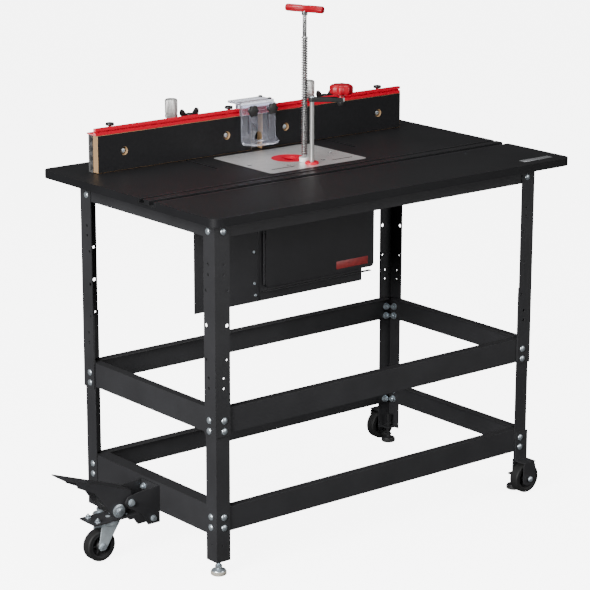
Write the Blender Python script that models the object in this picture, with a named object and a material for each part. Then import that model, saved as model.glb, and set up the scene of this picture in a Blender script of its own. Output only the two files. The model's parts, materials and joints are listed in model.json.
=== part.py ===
"""Router table: laminate top on a telescoping steel stand, with lift, fence and lift-up caster.

Metres, +Z up.  +X runs along the long side, the operator stands at -Y, the floor is z = 0.
The origin is on the floor under the middle of the whole assembly's outline.
"""
import math

import bmesh
import bpy
from mathutils import Matrix, Vector

# ---------------------------------------------------------------- driving dimensions
MM = 0.001
TOP_X = 1092.2          # table top, long side (43 in)
TOP_Y = 685.8           # table top, short side (27 in)
TOP_T = 19.05           # table top thickness (3/4 in)
TOP_Z = 863.6           # height of the work surface (34 in)
PEDAL_REACH = 200.0     # how far the foot pedal's tip stands out past the top's left edge
GAP = 0.4               # running and touching clearance between neighbours

# The sizes below are millimetres from the top's front left corner and the floor.
UNDER_Z = TOP_Z - TOP_T                     # underside of the top
STAND_X0, STAND_X1 = 54.0, TOP_X - 54.0     # outer faces of the legs
STAND_Y0, STAND_Y1 = 73.0, 601.0
STEEL = 2.5                                 # gauge of the stand
LEG_W = 42.0                                # flange width of the upper legs
FOOT_GAP = 36.0                             # floor to the bottom of the lower legs
UPPER_LEG_Z0 = 337.0
LOWER_LEG_Z1 = 520.0
MID_Z0, MID_Z1 = 341.0, 401.0               # middle stretchers
LOW_Z0, LOW_Z1 = 106.0, 164.0               # lower stretchers
LOW_LEFT_Z0, LOW_LEFT_Z1 = 98.0, 168.0      # deeper lower stretcher that carries the pedal unit
RAIL_H = 47.0                               # top frame depth

PLATE_X, PLATE_Y, PLATE_T = 298.45, 234.95, 9.5     # router plate (11 3/4 x 9 1/4 in)
PLATE_CX, PLATE_CY = TOP_X / 2, 420.0
RING_R, RING_HOLE_R = 46.0, 21.0
CRANK_X, CRANK_Y = PLATE_CX - 1.6, PLATE_CY - 86.0
WRENCH_X, WRENCH_Y = PLATE_CX - 2.6, PLATE_CY - 58.0

FENCE_Y = 552.0                             # front face of the fence
FACE_X, FACE_T, FACE_H = 457.2, 19.0, 90.0  # one fence face (18 in long)
FACE_GAP = 32.0
SLOT_X = (PLATE_CX - 215.0, PLATE_CX + 215.0)       # fence slots
SLOT_Y0, SLOT_Y1, SLOT_W = 429.0, 652.0, 8.0

WHEEL_R, WHEEL_W = 38.0, 26.0               # 3 in casters

BLACK = (0.030, 0.030, 0.033)
PALETTE = {                                 # colour, roughness, metallic
    "laminate": (BLACK, 0.45, 0.0),
    "powder_coat": ((0.035, 0.035, 0.038), 0.40, 0.0),
    "anodised_black": ((0.020, 0.020, 0.022), 0.35, 0.8),
    "aluminium": ((0.70, 0.71, 0.72), 0.35, 1.0),
    "zinc": ((0.62, 0.65, 0.68), 0.35, 1.0),
    "anodised_red": ((0.60, 0.01, 0.03), 0.35, 0.3),
    "clear_plastic": ((0.75, 0.82, 0.90), 0.10, 0.0),
    "rubber": ((0.025, 0.025, 0.025), 0.75, 0.0),
    "nylon": ((0.72, 0.68, 0.60), 0.60, 0.0),
    "black_plastic": ((0.020, 0.020, 0.020), 0.50, 0.0),
}

# ---------------------------------------------------------------- scene and helpers
for old in list(bpy.data.objects):
    bpy.data.objects.remove(old, do_unlink=True)

PARTS = bpy.data.collections.new("router_table")
TOOLS = bpy.data.collections.new("cutters")
bpy.context.scene.collection.children.link(PARTS)
bpy.context.scene.collection.children.link(TOOLS)
SHIFT = Vector((-(TOP_X - PEDAL_REACH) / 2, -TOP_Y / 2, 0.0))


def place(x, y, z):
    """A point in the table's own millimetres, as world metres."""
    return (Vector((x, y, z)) + SHIFT) * MM


def material(name):
    """The named Principled material, made once."""
    found = bpy.data.materials.get(name)
    if found:
        return found
    colour, rough, metal = PALETTE[name]
    made = bpy.data.materials.new(name)
    made.use_nodes = True
    shader = made.node_tree.nodes["Principled BSDF"]
    shader.inputs["Base Color"].default_value = (*colour, 1.0)
    shader.inputs["Roughness"].default_value = rough
    shader.inputs["Metallic"].default_value = metal
    return made


def new_object(name, mesh, finish=None, at=(0, 0, 0)):
    """An object at a place in table millimetres; one with no finish is a cutter or a joining piece."""
    made = bpy.data.objects.new(name, mesh)
    made.location = place(*at)
    if finish:
        PARTS.objects.link(made)
        mesh.materials.append(material(finish))
    else:
        TOOLS.objects.link(made)
        made.hide_render = True
        made.display_type = "WIRE"
    return made


def from_bmesh(name, bm, finish, at):
    bmesh.ops.recalc_face_normals(bm, faces=bm.faces)
    mesh = bpy.data.meshes.new(name)
    bm.to_mesh(mesh)
    bm.free()
    return new_object(name, mesh, finish, at)


def box(name, low, high, finish=None, origin=None):
    """A block between two corners; its origin is its centre unless a point is given."""
    low, high = Vector(low), Vector(high)
    middle = (low + high) / 2
    origin = Vector(origin) if origin else middle
    bm = bmesh.new()
    bmesh.ops.create_cube(bm, size=1.0)
    bmesh.ops.scale(bm, vec=(high - low) * MM, verts=bm.verts)
    bmesh.ops.translate(bm, vec=(middle - origin) * MM, verts=bm.verts)
    return from_bmesh(name, bm, finish, origin)


TURN = {"X": Matrix.Rotation(math.pi / 2, 4, "Y"), "Y": Matrix.Rotation(-math.pi / 2, 4, "X"),
        "Z": Matrix.Identity(4)}


def rod(name, centre, radius, length, axis="Z", finish=None, sides=24, top_radius=None, origin=None):
    """A cylinder or cone about a world axis, centred on a point."""
    centre = Vector(centre)
    origin = Vector(origin) if origin else centre
    bm = bmesh.new()
    end = radius if top_radius is None else top_radius
    bmesh.ops.create_cone(bm, cap_ends=True, segments=sides, radius1=radius * MM, radius2=end * MM,
                          depth=length * MM)
    bmesh.ops.transform(bm, matrix=TURN[axis], verts=bm.verts)
    bmesh.ops.translate(bm, vec=(centre - origin) * MM, verts=bm.verts)
    made = from_bmesh(name, bm, finish, origin)
    smooth(made)
    return made


def smooth(made):
    made.data.shade_smooth()
    made.data.set_sharp_from_angle(angle=math.radians(35))


def prism(name, outline, low, high, axis="Y", finish=None, origin=(0, 0, 0)):
    """An outline swept along an axis: (x, z) points along Y, (y, z) along X, (x, y) along Z."""
    def point(a, b, c):
        spot = {"X": (c, a, b), "Y": (a, c, b), "Z": (a, b, c)}[axis]
        return (Vector(spot) - Vector(origin)) * MM
    bm = bmesh.new()
    face = bm.faces.new([bm.verts.new(point(a, b, low)) for a, b in outline])
    swept = bmesh.ops.extrude_face_region(bm, geom=[face])
    along = point(0, 0, high) - point(0, 0, low)
    corners = [item for item in swept["geom"] if isinstance(item, bmesh.types.BMVert)]
    bmesh.ops.translate(bm, vec=along, verts=corners)
    return from_bmesh(name, bm, finish, origin)


def lathe(name, profile, centre, axis="Z", finish=None, sides=32):
    """A turned solid: (radius, height) points from one end on the axis to the other."""
    bm = bmesh.new()
    loop = [bm.verts.new((r * MM, 0, h * MM)) for r, h in profile]
    edges = [bm.edges.new(pair) for pair in zip(loop, loop[1:])]
    bmesh.ops.spin(bm, geom=loop + edges, cent=(0, 0, 0), axis=(0, 0, 1), angle=math.tau, steps=sides,
                   use_duplicate=False)
    bmesh.ops.remove_doubles(bm, verts=bm.verts, dist=1e-6)
    bmesh.ops.transform(bm, matrix=TURN[axis], verts=bm.verts)
    made = from_bmesh(name, bm, finish, centre)
    smooth(made)
    return made


def combine(made, others, operation="DIFFERENCE"):
    """Cuts the others out of a piece, or joins them to it."""
    for other in others:
        step = made.modifiers.new(operation.lower(), "BOOLEAN")
        step.operation = operation
        step.solver = "EXACT"
        step.object = other
    return made


def rounded_rect(x0, y0, x1, y1, radius, steps=5):
    """Outline of a rectangle with round corners, anticlockwise."""
    points = []
    for cx, cy, start in ((x1 - radius, y0 + radius, -90), (x1 - radius, y1 - radius, 0),
                          (x0 + radius, y1 - radius, 90), (x0 + radius, y0 + radius, 180)):
        for step in range(steps + 1):
            turn = math.radians(start + 90 * step / steps)
            points.append((cx + radius * math.cos(turn), cy + radius * math.sin(turn)))
    return points


def slot_outline(x, y0, y1, width, steps=6):
    return rounded_rect(x - width / 2, y0, x + width / 2, y1, width / 2 - 0.01, steps)


# ---------------------------------------------------------------- top, track and plate
TRACK_Y0, TRACK_Y1, TRACK_H = 217.0, 287.0, 12.7


def around_plate(margin, radius):
    """Outline of the router plate, grown by a margin."""
    half_x, half_y = PLATE_X / 2 + margin, PLATE_Y / 2 + margin
    return rounded_rect(PLATE_CX - half_x, PLATE_CY - half_y, PLATE_CX + half_x, PLATE_CY + half_y, radius)


def table_top():
    """Top with the plate recess, the track groove and fence slots stepped below for the bolt heads."""
    top = prism("table_top", rounded_rect(0, 0, TOP_X, TOP_Y, 25), UNDER_Z, TOP_Z, "Z", "laminate")
    recess = prism("cut_plate_recess", around_plate(GAP, 12 + GAP), TOP_Z - PLATE_T - GAP, TOP_Z + 5, "Z")
    through = prism("cut_plate_opening", around_plate(GAP - 12.0, 8), UNDER_Z - 5, TOP_Z, "Z")
    groove = box("cut_track_groove", (-5, TRACK_Y0 - GAP, TOP_Z - TRACK_H - GAP),
                 (TOP_X + 5, TRACK_Y1 + GAP, TOP_Z + 5))
    cuts = [recess, through, groove]
    for side, x in enumerate(SLOT_X):
        cuts.append(prism(f"cut_fence_slot_{side}", slot_outline(x, SLOT_Y0, SLOT_Y1, SLOT_W),
                          UNDER_Z - 5, TOP_Z + 5, "Z"))
        cuts.append(prism(f"cut_bolt_head_slot_{side}", slot_outline(x, SLOT_Y0 - 5, SLOT_Y1 + 5, 17.0),
                          UNDER_Z - 5, UNDER_Z + 9, "Z"))
    combine(top, cuts)


def combo_track():
    """T-track and mitre slot side by side, in one extrusion."""
    z0, z1 = TOP_Z - TRACK_H, TOP_Z
    lip, floor = 3.0, 2.5
    mitre0, mitre1 = 225.5, 244.6           # 3/4 in mitre slot
    tee0, tee1, neck0, neck1 = 262.0, 282.0, 268.0, 276.0
    outline = [(TRACK_Y0, z0), (TRACK_Y1, z0), (TRACK_Y1, z1), (neck1, z1), (neck1, z1 - lip),
               (tee1, z1 - lip), (tee1, z0 + floor), (tee0, z0 + floor), (tee0, z1 - lip), (neck0, z1 - lip),
               (neck0, z1), (mitre1, z1), (mitre1, z0 + floor), (mitre0, z0 + floor), (mitre0, z1),
               (TRACK_Y0, z1)]
    prism("combo_track", outline, 0, TOP_X, "X", "anodised_black")


def router_plate():
    plate = prism("router_plate", around_plate(0, 12), TOP_Z - PLATE_T, TOP_Z, "Z", "aluminium")
    bore = rod("cut_ring_seat", (PLATE_CX, PLATE_CY, TOP_Z), RING_R + GAP, 60, "Z", sides=48)
    crank = rod("cut_crank_hole", (CRANK_X, CRANK_Y, TOP_Z), 7.5, 60, "Z")
    wrench = rod("cut_wrench_hole", (WRENCH_X, WRENCH_Y, TOP_Z), 6.5, 60, "Z")
    combine(plate, [bore, crank, wrench])
    section = [(RING_HOLE_R, -PLATE_T + 2), (RING_R, -PLATE_T + 2), (RING_R, 0), (RING_HOLE_R, 0),
               (RING_HOLE_R, -PLATE_T + 2)]
    lathe("insert_ring", section, (PLATE_CX, PLATE_CY, TOP_Z), finish="anodised_red", sides=48)


# ---------------------------------------------------------------- stand
def angle_outline(corner, reach_x, reach_y, gauge):
    """L section in plan: the corner is the outer edge, the reaches are signed."""
    x, y = corner
    sx, sy = math.copysign(gauge, reach_x), math.copysign(gauge, reach_y)
    return [(x, y), (x + reach_x, y), (x + reach_x, y + sy), (x + sx, y + sy), (x + sx, y + reach_y),
            (x, y + reach_y)]


CORNERS = {"front_left": (STAND_X0, STAND_Y0, 1, 1), "front_right": (STAND_X1, STAND_Y0, -1, 1),
           "back_left": (STAND_X0, STAND_Y1, 1, -1), "back_right": (STAND_X1, STAND_Y1, -1, -1)}
STEP_IN = STEEL + GAP                       # lower legs nest inside the upper ones
FOOT_IN = 22.0                              # foot axis from the leg's outer faces
PAD_TAB = 30.0
FOOT_PROFILE = [(0, 0), (17.5, 0), (18.5, 1.5), (18.5, 9), (17, 11.5), (9, 13.5), (6.5, 17), (8.5, 18.5),
                (8.5, 26), (4.8, 26), (4.8, 78), (0, 78)]


def legs_and_feet():
    for corner, (x, y, sx, sy) in CORNERS.items():
        upper = angle_outline((x, y), sx * LEG_W, sy * LEG_W, STEEL)
        prism(f"leg_upper_{corner}", upper, UPPER_LEG_Z0, UNDER_Z - GAP, "Z", "powder_coat")
        ix, iy = x + sx * STEP_IN, y + sy * STEP_IN
        reach = LEG_W - STEP_IN
        lower = prism(f"leg_lower_{corner}", angle_outline((ix, iy), sx * reach, sy * reach, STEEL),
                      FOOT_GAP, LOWER_LEG_Z1, "Z", "powder_coat")
        tab_x, tab_y = ix + sx * PAD_TAB, iy + sy * PAD_TAB
        tab = box(f"join_foot_tab_{corner}", (min(ix, tab_x) + 0.5, min(iy, tab_y) + 0.5, FOOT_GAP + 2),
                  (max(ix, tab_x) - 0.5, max(iy, tab_y) - 0.5, FOOT_GAP + 6))
        fx, fy = x + sx * FOOT_IN, y + sy * FOOT_IN
        hole = rod(f"cut_foot_hole_{corner}", (fx, fy, FOOT_GAP), 5.2, 60)
        combine(lower, [tab], "UNION")
        combine(lower, [hole])
        lathe(f"foot_{corner}", FOOT_PROFILE, (fx, fy, 0), finish="zinc", sides=24)


def stretcher(name, along, flange_depth, z0, z1, web, low, high):
    """Angle with an inward top flange.  along is the axis it runs on; web is (outer face, inward sign)."""
    face, inward = web
    inner = face + inward * STEEL
    lip = face + inward * flange_depth
    outline = [(face, z0), (inner, z0), (inner, z1 - STEEL), (lip, z1 - STEEL), (lip, z1), (face, z1)]
    prism(name, outline, low, high, along, "powder_coat")


def stand():
    """Middle stretchers behind both gauges of the nested legs, low ones behind the lower legs."""
    mid_in, low_in = 2 * STEP_IN, STEP_IN + STEEL + GAP
    z_mid, z_low, z_left = (MID_Z0, MID_Z1), (LOW_Z0, LOW_Z1), (LOW_LEFT_Z0, LOW_LEFT_Z1)
    end = LEG_W - 12.0
    for side, face, inward in (("front", STAND_Y0, 1), ("back", STAND_Y1, -1)):
        low, high = STAND_X0 + end, STAND_X1 - end
        stretcher(f"stretcher_mid_{side}", "X", 22, *z_mid, (face + inward * mid_in, inward), low, high)
        stretcher(f"stretcher_low_{side}", "X", 22, *z_low, (face + inward * low_in, inward), low, high)
    for side, face, inward in (("left", STAND_X0, 1), ("right", STAND_X1, -1)):
        low, high = STAND_Y0 + end, STAND_Y1 - end
        heights, depth = (z_left, 36) if side == "left" else (z_low, 22)
        stretcher(f"stretcher_mid_{side}", "Y", 22, *z_mid, (face + inward * mid_in, inward), low, high)
        stretcher(f"stretcher_low_{side}", "Y", depth, *heights, (face + inward * low_in, inward), low, high)


def top_frame():
    """Welded frame of angle under the top, inside the upper legs."""
    d = STEEL + GAP
    x0, x1, y0, y1 = STAND_X0 + d, STAND_X1 - d, STAND_Y0 + d, STAND_Y1 - d
    z0, z1 = UNDER_Z - RAIL_H, UNDER_Z - GAP
    frame = box("top_frame", (x0, y0, z0), (x1, y1, z1), "powder_coat")
    flange = 38.0
    hollow = box("cut_frame_hollow", (x0 + STEEL, y0 + STEEL, z0 - 5), (x1 - STEEL, y1 - STEEL, z1 - STEEL))
    window = box("cut_frame_window", (x0 + flange, y0 + flange, z0 - 5), (x1 - flange, y1 - flange, z1 + 5))
    combine(frame, [hollow, window])


# ---------------------------------------------------------------- fixed casters, right end
CASTER_X = STAND_X1 - LEG_W / 2
CASTER_OUT = 35.0                           # how far the bracket stands out from the leg


def fixed_caster(corner, outer_y, out):
    """out is -1 at the front and +1 at the back: the side of the leg that the bracket stands on."""
    x0, x1 = STAND_X1 - LEG_W + 2, STAND_X1
    face = outer_y - out * (STEP_IN - GAP)
    gauge = 3.0
    z_axle = WHEEL_R + 2.0
    z_bend = 84.0
    outer = face + out * CASTER_OUT
    outline = [(face, z_bend - gauge), (outer, z_bend - gauge), (outer, z_bend), (face + out * gauge, z_bend),
               (face + out * gauge, 158), (face, 158)]
    bracket = prism(f"caster_bracket_{corner}", outline, x0, x1, "X", "powder_coat")
    a, b = sorted((outer, outer - out * gauge))
    cheek = prism(f"join_cheek_{corner}", rounded_rect(x0, 24, x1, z_bend - 0.5, 12), a, b, "Y")
    wheel_y = face + out * (CASTER_OUT - gauge - 3.0 - WHEEL_W / 2)
    wheel_solid(f"wheel_{corner}", (CASTER_X, wheel_y, z_axle), 5.6)
    a, b = sorted((wheel_y - out * (WHEEL_W / 2 + 1.5), outer + out * 4))
    axle = rod(f"join_axle_{corner}", (CASTER_X, (a + b) / 2, z_axle), 5.0, b - a, "Y", sides=20)
    combine(bracket, [cheek, axle], "UNION")


def wheel_solid(name, centre, bore):
    """Tyre and hub turned as one, on an axle along Y."""
    h, r = WHEEL_W / 2, WHEEL_R
    profile = [(bore, -h), (15, -h), (17, -h + 4), (27, -h + 4), (29, -h), (r - 5, -h), (r - 1.5, -h + 2.5),
               (r, -h + 7), (r, h - 7), (r - 1.5, h - 2.5), (r - 5, h), (29, h), (27, h - 4), (17, h - 4),
               (15, h), (bore, h), (bore, -h)]
    lathe(name, profile, centre, "Y", "rubber", sides=40)


# ---------------------------------------------------------------- pedal lift caster, left end
UNIT_Y = TOP_Y / 2 - 6.0                    # middle of the unit, along Y
BRACKET_HALF = 36.0
PEDAL_PIVOT = (-22.0, 138.0)                # x and z
ARM_PIVOT = (40.0, 86.0)
ROLLER_AT = (-51.0, 121.5)
ROLLER_R = 16.0
WEB_T = 3.5
ARM_Z0, ARM_Z1 = 100.0, 104.0
SWIVEL_X = -64.0
TRAIL = 26.0


def pedal_bracket():
    back = STAND_X0 + STEP_IN + STEEL + GAP              # outer face of the deep stretcher
    gauge = 3.5
    y0, y1 = UNIT_Y - BRACKET_HALF, UNIT_Y + BRACKET_HALF
    cheek = [(back - GAP, 162), (0, 158), (-30, 152), (-38, 140), (-30, 126), (8, 104), (26, 72),
             (back - GAP, 72)]
    web = box("pedal_bracket", (back - GAP - gauge, y0, 72), (back - GAP, y1, 162), "powder_coat")
    near = prism("join_cheek_near", cheek, y0, y0 + gauge, "Y")
    far = prism("join_cheek_far", cheek, y1 - gauge, y1, "Y")
    combine(web, [near, far], "UNION")
    pins = [rod("join_pedal_pin", (PEDAL_PIVOT[0], UNIT_Y, PEDAL_PIVOT[1]), 4.5, 2 * BRACKET_HALF + 8, "Y"),
            rod("join_arm_pin", (ARM_PIVOT[0], UNIT_Y, ARM_PIVOT[1]), 4.5, 2 * BRACKET_HALF + 8, "Y")]
    combine(web, pins, "UNION")


def pedal():
    """Foot plate with two side webs; its origin is its pivot."""
    px, pz = PEDAL_PIVOT
    half = 26.0
    tip_x = -PEDAL_REACH
    slope = 0.36

    def top(x):
        return pz + 31 + slope * (-x - 30)

    plate = [(tip_x, top(tip_x)), (tip_x + 1.2, top(tip_x) - 4.0), (-16, top(-16) - 4.5), (-14, top(-16))]
    lever = prism("pedal", plate, UNIT_Y - half, UNIT_Y + half, "Y", "powder_coat",
                  origin=(px, UNIT_Y, pz))
    web = [(tip_x + 34, top(tip_x + 34) - 2), (tip_x + 38, top(tip_x + 38) - 16), (-116, top(-116) - 22),
           (-72, 116), (-50, 108), (-30, 122), (-12, 130), (-10, 144), (-16, top(-16) - 2)]
    webs = [prism(f"join_pedal_web_{side}", web, y, y + WEB_T, "Y")
            for side, y in (("near", UNIT_Y - half), ("far", UNIT_Y + half - WEB_T))]
    at = (ROLLER_AT[0], UNIT_Y, ROLLER_AT[1])
    combine(lever, [*webs, rod("join_roller_pin", at, 4.0, 2 * half + 4, "Y")], "UNION")
    combine(lever, [rod("cut_pedal_pivot", (px, UNIT_Y, pz), 4.9, 90, "Y")])
    roller = rod("pedal_roller", at, ROLLER_R, 2 * half - 2 * WEB_T - 2, "Y", "zinc", sides=32)
    combine(roller, [rod("cut_roller_bore", at, 4.5, 90, "Y")])


def caster_arm():
    """Channel that carries the swivel caster; its origin is its pivot."""
    x, z = ARM_PIVOT
    half = 31.0
    low, high = UNIT_Y - half, UNIT_Y + half
    plate = prism("caster_arm", [(-122, ARM_Z0), (30, ARM_Z0), (30, ARM_Z1), (-122, ARM_Z1)], low, high,
                  "Y", "powder_coat", origin=(x, UNIT_Y, z))
    side = [(-32, ARM_Z1 - 1), (-24, 94), (-12, 94), (0, 78), (40, 78), (47.5, 86), (42, 94),
            (30, ARM_Z1 - 1)]
    sides = [prism(f"join_arm_side_{n}", side, y - 1.5, y + 1.5, "Y")
             for n, y in (("near", low + 1.5), ("far", high - 1.5))]
    combine(plate, sides, "UNION")
    combine(plate, [rod("cut_arm_pivot", (x, UNIT_Y, z), 4.9, 90, "Y"),
                    rod("cut_kingpin", (SWIVEL_X, UNIT_Y, ARM_Z0), 6.4, 40)])


def swivel_caster():
    """Zinc fork that turns under the arm, and its wheel."""
    axle_x, axle_z = SWIVEL_X - TRAIL, WHEEL_R + 1.5
    head_z = ARM_Z0 - 2.0
    head = rod("caster_fork", (SWIVEL_X, UNIT_Y, head_z - 4.0), 27, 8, "Z", "zinc", sides=32)
    pin = rod("join_kingpin", (SWIVEL_X, UNIT_Y, head_z + 2), 6.0, 9)
    leg = [(SWIVEL_X - 27, head_z - 3), (SWIVEL_X + 24, head_z - 3), (axle_x + 12, axle_z - 3),
           (axle_x + 6, axle_z - 10), (axle_x - 6, axle_z - 10), (axle_x - 11, axle_z - 3)]
    inner = WHEEL_W / 2 + 1.5
    blades = [prism(f"join_fork_blade_{n}", leg, y, y + 3, "Y")
              for n, y in (("near", UNIT_Y - inner - 3), ("far", UNIT_Y + inner))]
    axle = rod("join_fork_axle", (axle_x, UNIT_Y, axle_z), 4.0, 2 * inner + 10, "Y", sides=20)
    combine(head, [pin, *blades, axle], "UNION")
    wheel_solid("caster_wheel", (axle_x, UNIT_Y, axle_z), 4.6)


# ---------------------------------------------------------------- dust box
BOX_X0, BOX_X1 = 356.0, 676.0
WING_X0 = 165.0                             # front sheet carried on past the box, to the left
BOX_Y0, BOX_Y1 = 300.0, 556.0
BOX_Z0 = 560.0
DOOR_X0, DOOR_X1 = 370.0, 708.0
DOOR_Z0, DOOR_Z1 = 593.0, 782.0
DOOR_T = 8.0
SHEET = 1.5


def dust_box():
    """Open-topped box under the plate; its front sheet runs on to the left as a wing."""
    top = UNDER_Z - GAP
    shell = box("dust_box", (BOX_X0, BOX_Y0, BOX_Z0), (BOX_X1, BOX_Y1, top), "powder_coat")
    inside = box("cut_box_inside", (BOX_X0 + SHEET, BOX_Y0 + SHEET, BOX_Z0 + SHEET),
                 (BOX_X1 - SHEET, BOX_Y1 - SHEET, top + 5))
    doorway = box("cut_box_doorway", (DOOR_X0 + 14, BOX_Y0 - 5, DOOR_Z0 + 12),
                  (BOX_X1 - 14, BOX_Y0 + 5, DOOR_Z1 - 12))
    outlet = rod("cut_box_outlet", (BOX_X0 + 150, BOX_Y1, BOX_Z0 + 75), 50, 20, "Y", sides=32)
    wing = box("join_box_wing", (WING_X0, BOX_Y0, BOX_Z0), (BOX_X0 + 1, BOX_Y0 + SHEET, top))
    ledge = box("join_box_ledge", (DOOR_X0 - 4, BOX_Y0 - 9, DOOR_Z0 - 11),
                (BOX_X1 + 24, BOX_Y0 + 1, DOOR_Z0 - 9))
    combine(shell, [inside, doorway, outlet])
    combine(shell, [wing, ledge], "UNION")


def dust_box_door():
    """Tray-shaped door; its origin is on its hinge line at the left edge."""
    y1 = BOX_Y0 - GAP
    y0 = y1 - DOOR_T
    hinge = (DOOR_X0, y0, DOOR_Z0)
    outline = rounded_rect(DOOR_X0, DOOR_Z0, DOOR_X1, DOOR_Z1, 9, 4)
    door = prism("dust_box_door", outline, y0, y1, "Y", "powder_coat", origin=hinge)
    combine(door, [box("cut_door_tray", (DOOR_X0 + 2, y0 + SHEET, DOOR_Z0 + 2),
                       (DOOR_X1 - 2, y1 + 5, DOOR_Z1 - 2))])


# ---------------------------------------------------------------- router lift
POST_DX = 78.0                              # guide posts from the plate's centre
LIFT_BOTTOM = TOP_Z - 235.0
CARRIAGE_Z0, CARRIAGE_Z1 = TOP_Z - 165.0, TOP_Z - 85.0


def router_lift():
    under_plate = TOP_Z - PLATE_T - GAP
    frame = box("lift_frame", (PLATE_CX - POST_DX - 16, PLATE_CY - 20, LIFT_BOTTOM),
                (PLATE_CX + POST_DX + 16, PLATE_CY + 20, LIFT_BOTTOM + 10), "aluminium")
    post_z = (LIFT_BOTTOM + 2 + under_plate) / 2
    posts = [rod(f"join_lift_post_{n}", (PLATE_CX + s * POST_DX, PLATE_CY, post_z), 8.0,
                 under_plate - LIFT_BOTTOM - 2) for n, s in (("left", -1), ("right", 1))]
    bearing = box("join_lift_bearing", (CRANK_X - 12, CRANK_Y - 12, LIFT_BOTTOM),
                  (CRANK_X + 12, PLATE_CY, LIFT_BOTTOM + 10))
    combine(frame, [bearing, *posts], "UNION")
    combine(frame, [rod("cut_screw_bearing", (CRANK_X, CRANK_Y, LIFT_BOTTOM), 5.4, 60)])

    carriage = box("lift_carriage", (PLATE_CX - POST_DX - 18, PLATE_CY - 62, CARRIAGE_Z0),
                   (PLATE_CX + POST_DX + 18, PLATE_CY + 62, CARRIAGE_Z1), "aluminium")
    nut = box("join_lift_nut", (CRANK_X - 13, CRANK_Y - 13, CARRIAGE_Z0),
              (CRANK_X + 13, PLATE_CY, CARRIAGE_Z1))
    combine(carriage, [nut], "UNION")
    cuts = [rod("cut_motor_bore", (PLATE_CX, PLATE_CY, CARRIAGE_Z0), 52, 300, "Z", sides=48),
            rod("cut_nut_bore", (CRANK_X, CRANK_Y, CARRIAGE_Z0), 6.4, 300)]
    cuts += [rod(f"cut_guide_{n}", (PLATE_CX + s * POST_DX, PLATE_CY, CARRIAGE_Z0), 8.4, 300)
             for n, s in (("left", -1), ("right", 1))]
    combine(carriage, cuts)
    top = under_plate + 3.0
    rod("lead_screw", (CRANK_X, CRANK_Y, (LIFT_BOTTOM + top) / 2), 5.0, top - LIFT_BOTTOM, "Z", "zinc")


# ---------------------------------------------------------------- crank and lifting wrench
CRANK_ARM = 69.5
CRANK_TURN = math.radians(-39.0)
CRANK_TOP = TOP_Z + 161.5


def crank():
    top = CRANK_TOP
    start = TOP_Z - PLATE_T + 3.0 + GAP
    post = rod("crank", (CRANK_X, CRANK_Y, (start + top) / 2), 5.6, top - start, "Z", "aluminium")
    collar = rod("join_crank_collar", (CRANK_X, CRANK_Y, TOP_Z + GAP + 1.5), 15.5, 3, "Z", sides=32)
    arm = box("join_crank_arm", (CRANK_X - 7, CRANK_Y - 6.5, top - 9),
              (CRANK_X + CRANK_ARM + 8, CRANK_Y + 6.5, top))
    arm.data.transform(Matrix.Translation(((CRANK_ARM + 1) / 2 * MM, 0, 0)))
    arm.location = place(CRANK_X, CRANK_Y, top - 4.5)
    arm.rotation_euler = (0, 0, CRANK_TURN)
    kx = CRANK_X + CRANK_ARM * math.cos(CRANK_TURN)
    ky = CRANK_Y + CRANK_ARM * math.sin(CRANK_TURN)
    nut = rod("join_crank_nut", (kx, ky, top - 12), 7.5, 10, "Z", sides=6)
    combine(post, [collar, arm, nut], "UNION")
    lathe("crank_knob", [(0, 0), (9, 0), (9, 5), (18, 8), (27, 11), (28.5, 15), (28.5, 26), (25.5, 30),
                         (11, 32), (0, 32)], (kx, ky, top + GAP), finish="anodised_red", sides=36)


WRENCH_TOP = TOP_Z + 368.0
SPRING_Z0, SPRING_Z1 = TOP_Z + 14.0, TOP_Z + 300.0


def lifting_wrench():
    """Spring-assisted T-handle that stands in the plate."""
    low = TOP_Z - PLATE_T + 1.0
    shaft = rod("lift_wrench", (WRENCH_X, WRENCH_Y, (low + WRENCH_TOP) / 2), 5.0, WRENCH_TOP - low,
                finish="zinc")
    bar = rod("join_wrench_bar", (WRENCH_X, WRENCH_Y, WRENCH_TOP + 3), 9.0, 102, "X", sides=28)
    bar.rotation_euler = (0, 0, math.radians(-69))
    washer = rod("join_spring_washer", (WRENCH_X, WRENCH_Y, SPRING_Z1 + GAP + 1.5), 7.6, 3)
    combine(shaft, [bar, washer], "UNION")
    lathe("wrench_collar", [(5.6, 0), (12, 0), (12, 12), (5.6, 12), (5.6, 0)],
          (WRENCH_X, WRENCH_Y, TOP_Z + GAP), finish="aluminium", sides=24)
    lathe("wrench_spring", [(5.6, 0), (8.2, 0), (8.2, SPRING_Z1 - SPRING_Z0), (5.6, SPRING_Z1 - SPRING_Z0),
                            (5.6, 0)], (WRENCH_X, WRENCH_Y, SPRING_Z0), finish="zinc", sides=24)


# ---------------------------------------------------------------- fence
FENCE_Z = TOP_Z + 0.6
EXT_Y0 = FENCE_Y + FACE_T + GAP
EXT_Y1 = EXT_Y0 + 16.0
EXT_X0, EXT_X1 = PLATE_CX - 475.0, PLATE_CX + 475.0
FENCE_TOP = FENCE_Z + FACE_H
TRACK_TOP = FENCE_TOP + GAP + 17.0          # top of the red track's front rib
RIB_T = 10.0


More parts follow.
